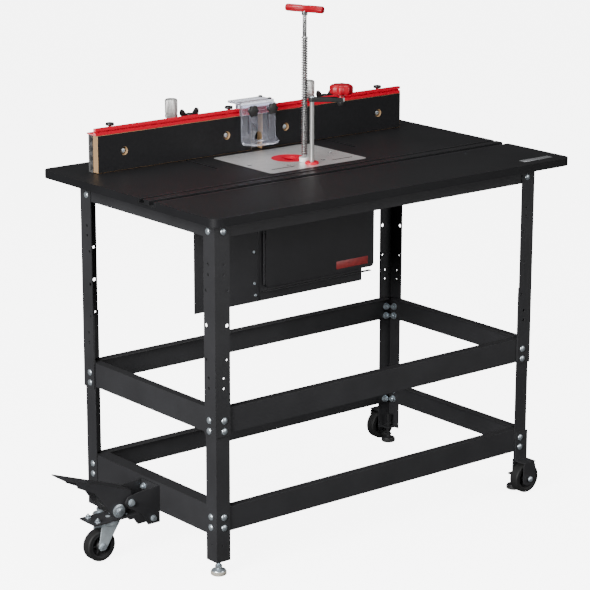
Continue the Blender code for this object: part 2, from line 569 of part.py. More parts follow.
def fence():
    # Extrusion with four T-slots along its front, cut here as plain grooves.
    y0, y1 = EXT_Y0, EXT_Y1
    outline = [(y1, FENCE_Z), (y1, FENCE_TOP - GAP)]
    pitch = FACE_H / 4
    for row in (3, 2, 1, 0):
        middle = FENCE_Z + pitch * (row + 0.5)
        outline += [(y0, middle + 8.5), (y0, middle + 4), (y0 + 3, middle + 4), (y0 + 3, middle + 7.5),
                    (y0 + 9, middle + 7.5), (y0 + 9, middle - 7.5), (y0 + 3, middle - 7.5),
                    (y0 + 3, middle - 4), (y0, middle - 4)]
        if row == 3:
            outline[2] = (y0, FENCE_TOP - GAP)
    outline += [(y0, FENCE_Z)]
    body = prism("fence_extrusion", outline, EXT_X0, EXT_X1, "X", "aluminium")
    port = rod("cut_fence_throat", (PLATE_CX, y0, FENCE_Z + 36), 28, 90, "Y", sides=32)
    combine(body, [port])
    half = FACE_GAP / 2
    for side, sign in (("left", -1), ("right", 1)):
        a, b = sorted((PLATE_CX + sign * half, PLATE_CX + sign * (half + FACE_X)))
        face = box(f"fence_face_{side}", (a, FENCE_Y, FENCE_Z + 0.4), (b, FENCE_Y + FACE_T, FENCE_TOP),
                   "laminate")
        middle = (a + b) / 2
        holes = [rod(f"cut_face_bolt_{side}_{n}", (middle + s * 152.4, FENCE_Y, FENCE_Z + 46), 9, 18, "Y")
                 for n, s in ((0, -1), (1, 1))]
        combine(face, holes)
    # Red track: a flange over the whole fence with a slotted rib along the front.
    z0 = FENCE_TOP + GAP
    y0, y1 = FENCE_Y, EXT_Y1 + 2
    outline = [(y0, z0), (y1, z0), (y1, z0 + 3.5), (y0 + RIB_T, z0 + 3.5), (y0 + RIB_T, TRACK_TOP),
               (y0, TRACK_TOP), (y0, z0 + 10.5), (y0 + 6, z0 + 10.5), (y0 + 6, z0 + 7), (y0, z0 + 7)]
    prism("fence_top_track", outline, PLATE_CX - 478, PLATE_CX + 472, "X", "anodised_red")
    lathe("fence_dust_port", [(25, 0), (31, 0), (31, 44), (27, 44), (25, 42), (25, 0)],
          (PLATE_CX, EXT_Y1 + GAP, FENCE_Z + 36), "Y", "black_plastic", sides=32)


CLAMP_Y = EXT_Y1 + GAP + 25.0               # clamp bolt behind the extrusion
WING_DX = 54.0
CLAMP_PROFILE = [(0, -18), (7.5, -18), (7.5, -12.5), (3.3, -12.5), (3.3, 9), (7, 9), (7, 86), (11, 88),
                 (11, 94), (15.5, 96), (15.5, 139), (13.5, 142), (0, 142)]
WING_PROFILE = [(0, 1), (3.2, 1), (3.2, 9), (6, 9), (6, 90), (9, 92), (9, 100), (0, 100)]


def fence_clamps():
    """Brackets behind the fence; a tall knurled nut clamps each to its slot, a wing knob locks it."""
    for side, x in zip(("left", "right"), SLOT_X):
        y0, y1 = EXT_Y1 + GAP, EXT_Y1 + GAP + 52.0
        foot = [(y0, FENCE_Z), (y1, FENCE_Z), (y1, FENCE_Z + 8), (y0 + 8, FENCE_Z + 8),
                (y0 + 8, FENCE_Z + 78), (y0, FENCE_Z + 78)]
        bracket = prism(f"fence_bracket_{side}", foot, x - 30, x + 84, "X", "anodised_black")
        wing_x = x + WING_DX
        combine(bracket, [rod(f"cut_clamp_hole_{side}", (x, CLAMP_Y, FENCE_Z), 4.4, 60),
                          rod(f"cut_wing_hole_{side}", (wing_x, CLAMP_Y, FENCE_Z), 4.0, 60)])
        lathe(f"clamp_nut_{side}", CLAMP_PROFILE, (x, CLAMP_Y, FENCE_Z), finish="aluminium", sides=28)
        knob = lathe(f"wing_knob_{side}", WING_PROFILE, (wing_x, CLAMP_Y, FENCE_Z), finish="black_plastic",
                     sides=20)
        wings = prism(f"join_wings_{side}", [(wing_x + u, FENCE_Z + w) for u, w in WING_OUTLINE],
                      CLAMP_Y - 4, CLAMP_Y + 4, "Y")
        combine(knob, [wings], "UNION")


WING_OUTLINE = [(-27, 99), (-20, 93), (0, 90), (20, 93), (27, 99), (27, 110), (20, 112), (10, 99),
                (-10, 99), (-20, 112), (-27, 110)]
GUARD_CX = PLATE_CX - 6.0
GUARD_X0, GUARD_X1 = GUARD_CX - 52.0, GUARD_CX + 52.0
GUARD_Y = FENCE_Y - 12.0
GUARD_KNOB_DX = 30.0


def bit_guard():
    """Clear bridge over the fence, and a clear visor that slides up and down in front of it."""
    z_top = TRACK_TOP + GAP + 10.0
    t = 5.5
    mount = [(GUARD_Y, z_top - 26), (GUARD_Y + t, z_top - 26), (GUARD_Y + t, z_top), (FENCE_Y, z_top),
             (FENCE_Y, TRACK_TOP + GAP), (FENCE_Y + RIB_T, TRACK_TOP + GAP), (FENCE_Y + RIB_T, z_top),
             (EXT_Y1 + 6, z_top), (EXT_Y1 + 6, z_top + t), (GUARD_Y, z_top + t)]
    prism("guard_mount", mount, GUARD_X0, GUARD_X1, "X", "clear_plastic")
    y1 = GUARD_Y - GAP
    y0 = y1 - t
    z0, z1 = TOP_Z + 22.0, z_top - 1.0
    front = y0 - 36.0
    lip = [(y1, z1), (y1, z0 + 10), (y1 - 2, z0 + 5), (y1 - 6, z0 + 1), (y1 - 12, z0 - 1), (front, z0 - 1),
           (front, z0 - 1 + t), (y0 - 8, z0 - 1 + t), (y0 - 3, z0 + 7), (y0, z0 + 11), (y0, z1)]
    shield = prism("guard_shield", lip, GUARD_X0, GUARD_X1, "X", "clear_plastic")
    plan = prism("keep_guard_plan", rounded_rect(GUARD_X0 - 1, front, GUARD_X1 + 1, y1 + 40, 38, 7),
                 z0 - 9, z1 + 9, "Z")
    combine(shield, [plan], "INTERSECT")
    knob_z = z_top - 13.0
    spots = (("left", GUARD_CX - GUARD_KNOB_DX), ("right", GUARD_CX + GUARD_KNOB_DX))
    cuts = [prism(f"cut_guard_slot_{n}", rounded_rect(x - 3.4, knob_z - 60, x + 3.4, knob_z + 7.8, 3.3, 4),
                  y0 - 5, y1 + 5, "Y") for n, x in spots]
    cuts.append(prism("cut_guard_throat", rounded_rect(GUARD_CX - 13, z0 - 22, GUARD_CX + 13, z0 + 28, 12),
                      y0 - 2.5, y1 + 5, "Y"))
    combine(shield, cuts)
    for n, x in spots:
        lathe(f"guard_knob_{n}", [(0, -22), (11, -22), (15, -19), (15, -12), (8, -9), (6, -0.4),
                                  (2.9, -0.4), (2.9, 4.9), (0, 4.9)],
              (x, y0 - 0.4, knob_z), "Y", "black_plastic", sides=24)


# ---------------------------------------------------------------- build
table_top()
combo_track()
router_plate()
legs_and_feet()
stand()
top_frame()
fixed_caster("front_right", STAND_Y0, -1)
fixed_caster("back_right", STAND_Y1, 1)
pedal_bracket()
pedal()
caster_arm()
swivel_caster()
dust_box()
dust_box_door()
router_lift()
crank()
lifting_wrench()
fence()
fence_clamps()
bit_guard()
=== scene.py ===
"""Looks of the router table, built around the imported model.

Points are table millimetres: x and y from the top's front left corner, z from the floor.
The CAD's own nodes stay where they are and get materials and softened edges; plain ones are replaced.
"""
import json
import math

import bmesh
import bpy
from mathutils import Matrix, Vector


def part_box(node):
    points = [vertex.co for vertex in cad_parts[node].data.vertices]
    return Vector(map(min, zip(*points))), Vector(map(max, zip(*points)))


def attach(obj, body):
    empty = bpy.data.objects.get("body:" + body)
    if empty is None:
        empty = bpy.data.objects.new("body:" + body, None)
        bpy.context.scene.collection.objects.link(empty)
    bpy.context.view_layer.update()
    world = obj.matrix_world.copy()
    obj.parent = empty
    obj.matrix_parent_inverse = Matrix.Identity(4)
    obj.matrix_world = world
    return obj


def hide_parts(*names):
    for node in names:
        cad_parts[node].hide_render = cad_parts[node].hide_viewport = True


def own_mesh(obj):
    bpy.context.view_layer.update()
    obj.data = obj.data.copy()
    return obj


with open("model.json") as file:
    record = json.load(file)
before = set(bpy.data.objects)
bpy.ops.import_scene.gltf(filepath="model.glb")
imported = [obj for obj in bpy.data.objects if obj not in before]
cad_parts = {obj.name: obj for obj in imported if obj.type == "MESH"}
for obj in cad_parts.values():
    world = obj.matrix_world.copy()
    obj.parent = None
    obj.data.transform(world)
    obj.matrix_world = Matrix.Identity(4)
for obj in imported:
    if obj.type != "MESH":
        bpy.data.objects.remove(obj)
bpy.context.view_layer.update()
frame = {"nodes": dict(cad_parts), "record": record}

MM = 0.001
NODES = frame["nodes"]
BODY_OF = {node: body for body, nodes in frame["record"]["behaviour"]["bodies"].items() for node in nodes}
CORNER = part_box("table_top")[0]
CORNER.z = 0.0

LEFT = Vector((-1, 0, 0))
FRONT, BACK = Vector((0, -1, 0)), Vector((0, 1, 0))
UP = Vector((0, 0, 1))


def to_world(point):
    """A point in table millimetres, as metres in the frame."""
    return CORNER + Vector(point) * MM


def span(node):
    """Lowest and highest corner of a CAD node, in table millimetres."""
    low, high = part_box(node)
    return (low - CORNER) / MM, (high - CORNER) / MM


def middle(node):
    low, high = span(node)
    return (low + high) / 2


TOP_Z = span("table_top")[1].z
PLATE = middle("router_plate")
FENCE_LOW, FENCE_HIGH = span("fence_extrusion")
FACE_Y = span("fence_face_left")[0].y

# ---------------------------------------------------------------- materials
TOOL_KIT = bpy.data.collections.new("cutters")
bpy.context.scene.collection.children.link(TOOL_KIT)


class Graph:
    """Short hand for a material's node tree."""

    def __init__(self, name):
        self.material = bpy.data.materials.new(name)
        self.material.use_nodes = True
        self.tree = self.material.node_tree
        self.shader = self.tree.nodes["Principled BSDF"]

    def add(self, kind, **values):
        node = self.tree.nodes.new(kind)
        for key, value in values.items():
            if hasattr(node, key):
                setattr(node, key, value)
            else:
                node.inputs[key.replace("_", " ")].default_value = value
        return node

    def link(self, source, target):
        self.tree.links.new(source, target)

    def place(self, stretch=(1, 1, 1)):
        """Coordinates on the piece itself, in metres, optionally stretched."""
        where = self.add("ShaderNodeTexCoord").outputs["Object"]
        mapping = self.add("ShaderNodeMapping")
        mapping.inputs["Scale"].default_value = stretch
        self.link(where, mapping.inputs["Vector"])
        return mapping.outputs["Vector"]

    def noise(self, size_mm, detail=3.0, stretch=(1, 1, 1)):
        made = self.add("ShaderNodeTexNoise", Scale=1.0 / (size_mm * MM), Detail=detail)
        self.link(self.place(stretch), made.inputs["Vector"])
        return made.outputs["Fac"]

    def remap(self, value, low, high, start=0.3, end=0.7):
        made = self.add("ShaderNodeMapRange")
        for key, number in (("From Min", start), ("From Max", end), ("To Min", low), ("To Max", high)):
            made.inputs[key].default_value = number
        self.link(value, made.inputs["Value"])
        return made.outputs["Result"]

    def mix(self, factor, first, second):
        """Blends two colours (or colour outputs) by a factor output."""
        made = self.add("ShaderNodeMix", data_type="RGBA")
        self.link(factor, made.inputs[0])
        for slot, colour in ((6, first), (7, second)):
            if isinstance(colour, tuple):
                made.inputs[slot].default_value = (*colour, 1.0)
            else:
                self.link(colour, made.inputs[slot])
        return made.outputs[2]

    def bump(self, height, strength, depth_mm):
        made = self.add("ShaderNodeBump", Strength=strength, Distance=depth_mm * MM)
        self.link(height, made.inputs["Height"])
        self.link(made.outputs["Normal"], self.shader.inputs["Normal"])

    def facing_axis(self, axis, cutoff=0.85):
        """1 where the face looks along an axis, 0 elsewhere."""
        split = self.add("ShaderNodeSeparateXYZ")
        self.link(self.add("ShaderNodeNewGeometry").outputs["True Normal"], split.inputs[0])
        size = self.add("ShaderNodeMath", operation="ABSOLUTE")
        self.link(split.outputs[axis], size.inputs[0])
        step = self.add("ShaderNodeMath", operation="GREATER_THAN")
        step.inputs[1].default_value = cutoff
        self.link(size.outputs[0], step.inputs[0])
        return step.outputs[0]


def scaled(colour, factor):
    return tuple(min(1.0, channel * factor) for channel in colour)


def finish(name, colour, rough, metal=0.0, grain=(1.0, 0.0), vary=(60.0, 0.15), stretch=(1, 1, 1), gloss=0.06,
           fleck=0.0, shine=0.5):
    """A surface whose colour drifts over vary[0] mm and whose grain is grain[0] mm fine, grain[1] deep."""
    g = Graph(name)
    drift = g.noise(vary[0], 2.0)
    tone = g.mix(g.remap(drift, 0.0, 1.0), scaled(colour, 1 - vary[1]), scaled(colour, 1 + vary[1]))
    fine = g.noise(grain[0], 4.0, stretch)
    if fleck:
        tone = g.mix(g.remap(fine, 0.0, fleck, 0.45, 0.75), tone, scaled(colour, 3.0))
    g.link(tone, g.shader.inputs["Base Color"])
    g.link(g.remap(fine, rough - gloss, rough + gloss), g.shader.inputs["Roughness"])
    g.shader.inputs["Metallic"].default_value = metal
    g.shader.inputs["Specular IOR Level"].default_value = shine
    if grain[1]:
        g.bump(fine, 0.5, grain[1])
    return g.material


def two_sided(name, axis, faced, core, rough, cutoff=0.85, shine=0.2):
    """One colour on the faces that look along an axis, another on the cut edges."""
    g = Graph(name)
    along = g.facing_axis(axis, cutoff)
    drift = g.noise(8.0, 5.0)
    skin = g.mix(g.remap(drift, 0.0, 1.0), scaled(faced, 0.85), scaled(faced, 1.15))
    cut = g.mix(g.remap(g.noise(1.2, 6.0), 0.0, 1.0), scaled(core, 0.7), scaled(core, 1.2))
    g.link(g.mix(along, cut, skin), g.shader.inputs["Base Color"])
    g.link(g.remap(drift, rough - 0.05, rough + 0.05), g.shader.inputs["Roughness"])
    g.shader.inputs["Specular IOR Level"].default_value = shine
    g.bump(g.noise(0.8, 3.0), 0.25, 0.05)
    return g.material


def clear_plastic():
    g = Graph("clear_acrylic")
    drift = g.noise(30.0, 2.0)
    tint = g.mix(g.remap(drift, 0.0, 1.0), (0.84, 0.86, 0.97), (0.90, 0.91, 0.99))
    g.link(tint, g.shader.inputs["Base Color"])
    g.link(g.remap(g.noise(3.0), 0.005, 0.03), g.shader.inputs["Roughness"])
    g.shader.inputs["Transmission Weight"].default_value = 0.93
    g.shader.inputs["IOR"].default_value = 1.45
    g.shader.inputs["Specular IOR Level"].default_value = 0.3
    g.bump(g.noise(18.0, 2.0), 0.05, 0.1)
    return g.material


BLACK = (0.027, 0.027, 0.029)
LAMINATE = finish("black_laminate", (0.011, 0.011, 0.012), 0.44, grain=(0.9, 0.05), vary=(120.0, 0.1),
                  fleck=0.2, shine=0.2)
# Light grey for the top's bevelled edges: a painted highlight along them.
PAINTED_EDGE_HIGHLIGHT = finish("laminate_edge_painted_highlight", (0.16, 0.16, 0.165), 0.45, grain=(1.5, 0.03))
POWDER = finish("powder_coat", BLACK, 0.44, grain=(1.3, 0.10), vary=(90.0, 0.12), fleck=0.12, shine=0.4)
SHEET = finish("dust_box_paint", (0.022, 0.022, 0.024), 0.38, grain=(1.6, 0.08), vary=(140.0, 0.1), shine=0.45)
ANODISED = finish("black_anodised", (0.024, 0.024, 0.026), 0.38, 0.5, grain=(0.5, 0.03),
                  stretch=(0.02, 1, 1))
ALUMINIUM = finish("satin_aluminium", (0.80, 0.80, 0.79), 0.36, 0.75, grain=(0.5, 0.03), vary=(25.0, 0.06),
                   stretch=(0.03, 1, 1), gloss=0.10)
MACHINED = finish("machined_aluminium", (0.38, 0.38, 0.37), 0.40, 0.7, grain=(0.4, 0.03), vary=(20.0, 0.06))
ZINC = finish("zinc_plate", (0.62, 0.69, 0.74), 0.32, 0.8, grain=(0.8, 0.03), vary=(9.0, 0.12), gloss=0.10)
STEEL = finish("polished_steel", (0.70, 0.70, 0.70), 0.22, 1.0, grain=(0.4, 0.02), vary=(30.0, 0.05))
FORK_ZINC = finish("bright_zinc", (0.66, 0.74, 0.78), 0.36, 0.6, grain=(0.8, 0.03), vary=(14.0, 0.10),
                   gloss=0.10)
SAWN = finish("sawn_aluminium", (0.17, 0.17, 0.17), 0.40, 0.6, grain=(0.5, 0.03), vary=(14.0, 0.10))
SPRING = finish("spring_wire", (0.42, 0.42, 0.42), 0.32, 0.9, grain=(0.6, 0.02), vary=(12.0, 0.12))
RED = finish("red_anodised", (0.58, 0.0, 0.024), 0.38, 0.0, grain=(0.5, 0.02), vary=(70.0, 0.08),
             stretch=(0.03, 1, 1), shine=0.3)
RED_KNOB = finish("red_cast_knob", (0.38, 0.001, 0.012), 0.34, grain=(0.7, 0.03), vary=(20.0, 0.12),
                  shine=0.4)
RUBBER = finish("caster_tread", (0.014, 0.014, 0.014), 0.60, grain=(0.7, 0.08), vary=(15.0, 0.2), shine=0.35)
HUB = finish("caster_hub", (0.020, 0.020, 0.021), 0.45, grain=(0.8, 0.04), vary=(12.0, 0.15), shine=0.4)
MOULDED = finish("moulded_plastic", (0.014, 0.014, 0.014), 0.42, grain=(0.6, 0.06), vary=(15.0, 0.15),
                 shine=0.4)
PAD = finish("foot_pad", (0.42, 0.39, 0.33), 0.50, grain=(0.9, 0.06), vary=(10.0, 0.1))
# A dark copy of the foot pad: painted shade for the right-hand feet.
PAINTED_SHADE_PAD = finish("foot_pad_painted_shade", (0.030, 0.030, 0.030), 0.60, grain=(0.9, 0.06), vary=(10.0, 0.1))
NYLON = finish("white_nylon", (0.70, 0.71, 0.70), 0.45, grain=(0.8, 0.03), vary=(10.0, 0.06))
TAG = finish("plain_red_tag", (0.30, 0.035, 0.035), 0.40, grain=(0.6, 0.01), vary=(10.0, 0.15))
LABEL = finish("blank_label", (0.55, 0.56, 0.58), 0.30, 0.8, grain=(0.6, 0.01), vary=(14.0, 0.1))
CLEAR = clear_plastic()
FACE_BOARD = two_sided("laminated_board", 1, (0.011, 0.011, 0.012), (0.36, 0.23, 0.12), 0.46, shine=0.12)
TRACK_RED = two_sided("red_track", 0, (0.62, 0.16, 0.17), (0.62, 0.0, 0.022), 0.44, shine=0.1)


# ---------------------------------------------------------------- pieces
def facing(direction):
    """Turns +Z to a direction."""
    return Vector(direction).to_track_quat("Z", "Y").to_matrix().to_4x4()


class Solids:
    """Closed solids, gathered in table millimetres, that become one piece."""

    def __init__(self):
        self.bm = bmesh.new()

    def settle(self, verts, matrix):
        bmesh.ops.transform(self.bm, matrix=matrix, verts=verts)

    def block(self, low, high, chamfer=0.0):
        low, high = Vector(low), Vector(high)
        made = bmesh.ops.create_cube(self.bm, size=1.0)["verts"]
        self.settle(made, Matrix.Translation((low + high) / 2) @ Matrix.Diagonal((*(high - low), 1.0)))
        if chamfer:
            edges = {edge for vert in made for edge in vert.link_edges}
            bmesh.ops.bevel(self.bm, geom=list(edges), offset=chamfer, segments=2, affect="EDGES",
                            profile=0.5)
        return self

    def rod(self, start, end, radius, tip=None, sides=24):
        start, end = Vector(start), Vector(end)
        tip = radius if tip is None else tip
        made = bmesh.ops.create_cone(self.bm, cap_ends=True, segments=sides, radius1=radius, radius2=tip,
                                     depth=(end - start).length)["verts"]
        self.settle(made, Matrix.Translation((start + end) / 2) @ facing(end - start))
        return self

    def turned(self, profile, centre, axis=UP, sides=32, lobes=0, depth=0.0, grip=(-1e9, 1e9)):
        """Turns (radius, height) points about an axis.  Lobes scallop the part inside the grip's heights."""
        rings = []
        for radius, height in profile:
            if radius < 1e-6:
                rings.append([self.bm.verts.new((0, 0, height))])
                continue
            ring = []
            for step in range(sides):
                turn = math.tau * step / sides
                gripped = grip[0] <= height <= grip[1]
                scallop = depth * (0.5 - 0.5 * math.cos(lobes * turn)) if gripped else 0.0
                reach = radius * (1 - scallop)
                ring.append(self.bm.verts.new((reach * math.cos(turn), reach * math.sin(turn), height)))
            rings.append(ring)
        closed = len(rings[0]) > 1 and profile[0] == profile[-1]
        if closed:
            for vert in rings.pop():
                self.bm.verts.remove(vert)
            rings.append(rings[0])
        for first, second in zip(rings, rings[1:]):
            for step in range(sides):
                after = (step + 1) % sides
                corners = [first[step % len(first)], first[after % len(first)],
                           second[after % len(second)], second[step % len(second)]]
                self.bm.faces.new(list(dict.fromkeys(corners)))
        verts = list({vert for ring in rings for vert in ring})
        self.settle(verts, Matrix.Translation(Vector(centre)) @ facing(axis))
        return self

    def coil(self, centre, radius, wire, z0, z1, turns, steps=18, sides=6):
        """A round wire wound about a vertical axis, its two ends capped."""
        count = int(turns * steps)
        rings = []
        for step in range(count + 1):
            share = step / count
            turn = math.tau * turns * share
            out = Vector((math.cos(turn), math.sin(turn), 0))
            height = z0 + wire + (z1 - z0 - 2 * wire) * share
            spot = Vector((centre[0], centre[1], height)) + out * radius
            ring = [self.bm.verts.new(spot + out * wire * math.cos(a) + UP * wire * math.sin(a))
                    for a in (math.tau * side / sides for side in range(sides))]
            rings.append(ring)
        for first, second in zip(rings, rings[1:]):
            for side in range(sides):
                after = (side + 1) % sides
                self.bm.faces.new((first[side], first[after], second[after], second[side]))
        self.bm.faces.new(rings[0])
        self.bm.faces.new(rings[-1][::-1])
        return self

    def prism(self, outline, start, end, axis="X"):
        """A flat outline swept along an axis: (y, z) points along X, (x, z) along Y, (x, y) along Z."""
        def spot(a, b, c):
            return {"X": (c, a, b), "Y": (a, c, b), "Z": (a, b, c)}[axis]
        low = [self.bm.verts.new(spot(a, b, start)) for a, b in outline]
        high = [self.bm.verts.new(spot(a, b, end)) for a, b in outline]
        self.bm.faces.new(low)
        self.bm.faces.new(high[::-1])
        for one in range(len(outline)):
            two = (one + 1) % len(outline)
            self.bm.faces.new((low[one], low[two], high[two], high[one]))
        return self

    # Fasteners sit on a face at a point and look along a direction.
    def carriage_head(self, at, out, radius=8.0):
        profile = [(0, 0)] + [(radius * math.cos(a), 0.1 + radius * 0.42 * math.sin(a))
                              for a in (math.radians(15 * n) for n in range(6))] + [(0, 0.1 + radius * 0.42)]
        return self.turned(profile, at, out, 24)

    def socket_head(self, at, out, radius=4.5, height=3.0, recess=2.2):
        self.turned([(0, 0), (radius, 0), (radius, height - 0.5), (radius - 0.5, height), (recess, height),
                     (recess, height - 1.6), (0, height - 1.6)], at, out, 20)
        return self

    def hex_nut(self, at, out, across=13.0, height=6.5, shank=4.0, proud=4.0):
        at, out = Vector(at), Vector(out)
        self.turned([(0, 0), (across * 0.72, 0), (across * 0.72, 1.5), (0, 1.5)], at, out, 24)
        self.rod(at + out * 1.5, at + out * (1.5 + height), across / math.sqrt(3), sides=6)
        self.rod(at + out * (1.5 + height), at + out * (1.5 + height + proud), shank, shank * 0.85, sides=16)
        return self

    def thread(self, start, end, radius, pitch=1.5, sides=16):
        """A screw's stem, its thread as closely set ridges."""
        start, end = Vector(start), Vector(end)
        length = (end - start).length
        ridges = max(2, int(length / pitch))
        profile = [(0, 0)]
        for n in range(ridges):
            profile += [(radius * 0.86, length * n / ridges), (radius, length * (n + 0.5) / ridges)]
        profile += [(radius * 0.86, length), (0, length)]
        return self.turned(profile, start, end - start, sides)

    def done(self, name, material, body, slot, bevel=0.0, smooth=40.0, replaces=()):
        """Makes the piece and rides it on its body; its slot is not used."""
        bmesh.ops.recalc_face_normals(self.bm, faces=self.bm.faces)
        for vert in self.bm.verts:
            vert.co = to_world(vert.co)
        mesh = bpy.data.meshes.new(name)
        self.bm.to_mesh(mesh)
        self.bm.free()
        mesh.shade_smooth()
        mesh.set_sharp_from_angle(angle=math.radians(smooth))
        piece = bpy.data.objects.new(name, mesh)
        if body is None:
            TOOL_KIT.objects.link(piece)
            piece.hide_render = True
            piece.display_type = "WIRE"
            return piece
        bpy.context.scene.collection.objects.link(piece)
        mesh.materials.append(material)
        if bevel:
            round_off(piece, bevel)
        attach(piece, body)
        if replaces:
            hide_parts(*replaces)
        return piece


def shading_by_angle():
    """A node group that keeps edges sharper than 35 degrees sharp and smooths the others."""
    group = bpy.data.node_groups.new("smooth_by_angle", "GeometryNodeTree")
    group.interface.new_socket("Geometry", in_out="INPUT", socket_type="NodeSocketGeometry")
    group.interface.new_socket("Geometry", in_out="OUTPUT", socket_type="NodeSocketGeometry")
    start, end = group.nodes.new("NodeGroupInput"), group.nodes.new("NodeGroupOutput")
    faces = group.nodes.new("GeometryNodeSetShadeSmooth")
    edges = group.nodes.new("GeometryNodeSetShadeSmooth")
    edges.domain = "EDGE"
    angle = group.nodes.new("GeometryNodeInputMeshEdgeAngle")
    compare = group.nodes.new("FunctionNodeCompare")
    compare.operation = "LESS_EQUAL"
    compare.inputs[1].default_value = math.radians(35)
    group.links.new(start.outputs[0], faces.inputs["Geometry"])
    group.links.new(faces.outputs["Geometry"], edges.inputs["Geometry"])
    group.links.new(angle.outputs["Unsigned Angle"], compare.inputs[0])
    group.links.new(compare.outputs[0], edges.inputs["Shade Smooth"])
    group.links.new(edges.outputs["Geometry"], end.inputs[0])
    return group


SMOOTH = shading_by_angle()


def round_off(piece, width, segments=2, material=-1):
    """Softens the sharp edges by a width in millimetres and shades the result."""
    if width:
        bevel = piece.modifiers.new("softened", "BEVEL")
        bevel.width = width * MM
        bevel.segments = segments
        bevel.limit_method = "ANGLE"
        bevel.angle_limit = math.radians(38)
        bevel.material = material
    shade = piece.modifiers.new("shading", "NODES")
    shade.node_group = SMOOTH
    flat = piece.modifiers.new("even_faces", "WEIGHTED_NORMAL")
    flat.keep_sharp = True


def dress(node, material, bevel=0.5, cutter=None, segments=2, edge=None):
    """Gives a CAD node its material, any drilled holes and softened edges."""
    piece = NODES[node]
    mesh = piece.data
    mesh.materials.clear()
    mesh.materials.append(material)
    # A second material for the bevelled edges; the top uses it as a painted edge highlight.
    if edge:
        mesh.materials.append(edge)
    weld = piece.modifiers.new("weld", "WELD")
    weld.merge_threshold = 1e-5
    if cutter:
        cut = piece.modifiers.new("holes", "BOOLEAN")
        cut.object = cutter
        cut.solver = "EXACT"
    tidy = piece.modifiers.new("flat_faces", "DECIMATE")
    tidy.decimate_type = "DISSOLVE"
    tidy.angle_limit = math.radians(1.0)
    round_off(piece, bevel, segments, 1 if edge else -1)
    return piece


# ---------------------------------------------------------------- stand
BOLT_IN = 25.0                      # bolt axis from a leg's outer corner
BOLT_PITCH = 25.4
UPPER_IN, LOWER_IN = 0.0, 2.9       # how far in each leg's outer face lies
NUT_IN = 8.4                        # inner face of the stretchers
RAIL_NUT_IN = 5.5                   # inner face of the top frame
BRACKET_T = 3.5                     # the fixed casters' brackets lie over the right-hand legs
LEGS = {"front_left": (1, 1), "front_right": (-1, 1), "back_left": (1, -1), "back_right": (-1, -1)}


def leg_corner(corner):
    """The outer corner of a leg and the signs that point inward."""
    sx, sy = LEGS[corner]
    low, high = span(f"leg_upper_{corner}")
    return (low.x if sx > 0 else high.x), (low.y if sy > 0 else high.y), sx, sy


def flange_spots(corner, along, z, inset):
    """For both flanges of a leg: the point on the face and the direction it looks."""
    x, y, sx, sy = leg_corner(corner)
    return [(Vector((x + sx * inset, y + sy * along, z)), Vector((-sx, 0, 0))),
            (Vector((x + sx * along, y + sy * inset, z)), Vector((0, -sy, 0)))]


def stand_bolts():
    """One bolt a flange at the top frame, and pairs at the middle and lower stretchers."""
    mid, low = middle("stretcher_mid_front").z - 9.0, middle("stretcher_low_front").z - 5.0
    rail = span("top_frame")[0].z + 15.0
    half = BOLT_PITCH / 2
    upper, lower = Solids(), Solids()
    rows = ((upper, rail, UPPER_IN, RAIL_NUT_IN), (upper, mid - half, UPPER_IN, NUT_IN),
            (upper, mid + half, UPPER_IN, NUT_IN), (lower, low - half, LOWER_IN, NUT_IN),
            (lower, low + half, LOWER_IN, NUT_IN))
    for corner in LEGS:
        for solids, z, inset, nut_in in rows:
            for at, out in flange_spots(corner, BOLT_IN, z, inset):
                on_bracket = solids is lower and "right" in corner and abs(out.y) > 0.5
                head = at + out * BRACKET_T if on_bracket else at + out * 0.05
                solids.carriage_head(head, out)
                solids.hex_nut(at - out * (nut_in - inset + 0.05), -out, shank=3.9)
    upper.done("stand_bolts_upper", ZINC, BODY_OF["table_top"], "zinc")
    lower.done("stand_bolts_lower", ZINC, BODY_OF["leg_lower_front_left"], "zinc")


# Holes in each flange: how far from the leg's corner, how high, and their radius.
HOLE_ROWS = ((25.0, 738.0, 3.2), (25.0, 714.0, 3.2), (34.0, 676.0, 3.4), (34.0, 596.0, 4.2),
             (34.0, 516.0, 3.4), (25.0, 474.0, 3.4), (25.0, 450.0, 3.4))


def legs():
    """Powder-coated angles, drilled for the height adjustment."""
    for corner in LEGS:
        upper, lower = Solids(), Solids()
        for along, z, radius in HOLE_ROWS:
            for at, out in flange_spots(corner, along, z, UPPER_IN):
                for drill in (upper, lower):
                    drill.rod(at + out * 4, at - out * 8, radius, sides=20)
        for at, out in flange_spots(corner, 20.0, 76.0, LOWER_IN):      # a blind dimple near the foot
            lower.rod(at + out * 4, at - out * 1.3, 2.6, sides=20)
        dress(f"leg_upper_{corner}", POWDER, 0.7, upper.done(f"cut_upper_{corner}", None, None, None))
        dress(f"leg_lower_{corner}", POWDER, 0.7, lower.done(f"cut_lower_{corner}", None, None, None))
    for level in ("mid", "low"):
        for side in ("front", "back", "left", "right"):
            dress(f"stretcher_{level}_{side}", POWDER, 0.6)
    dress("top_frame", POWDER, 0.6)


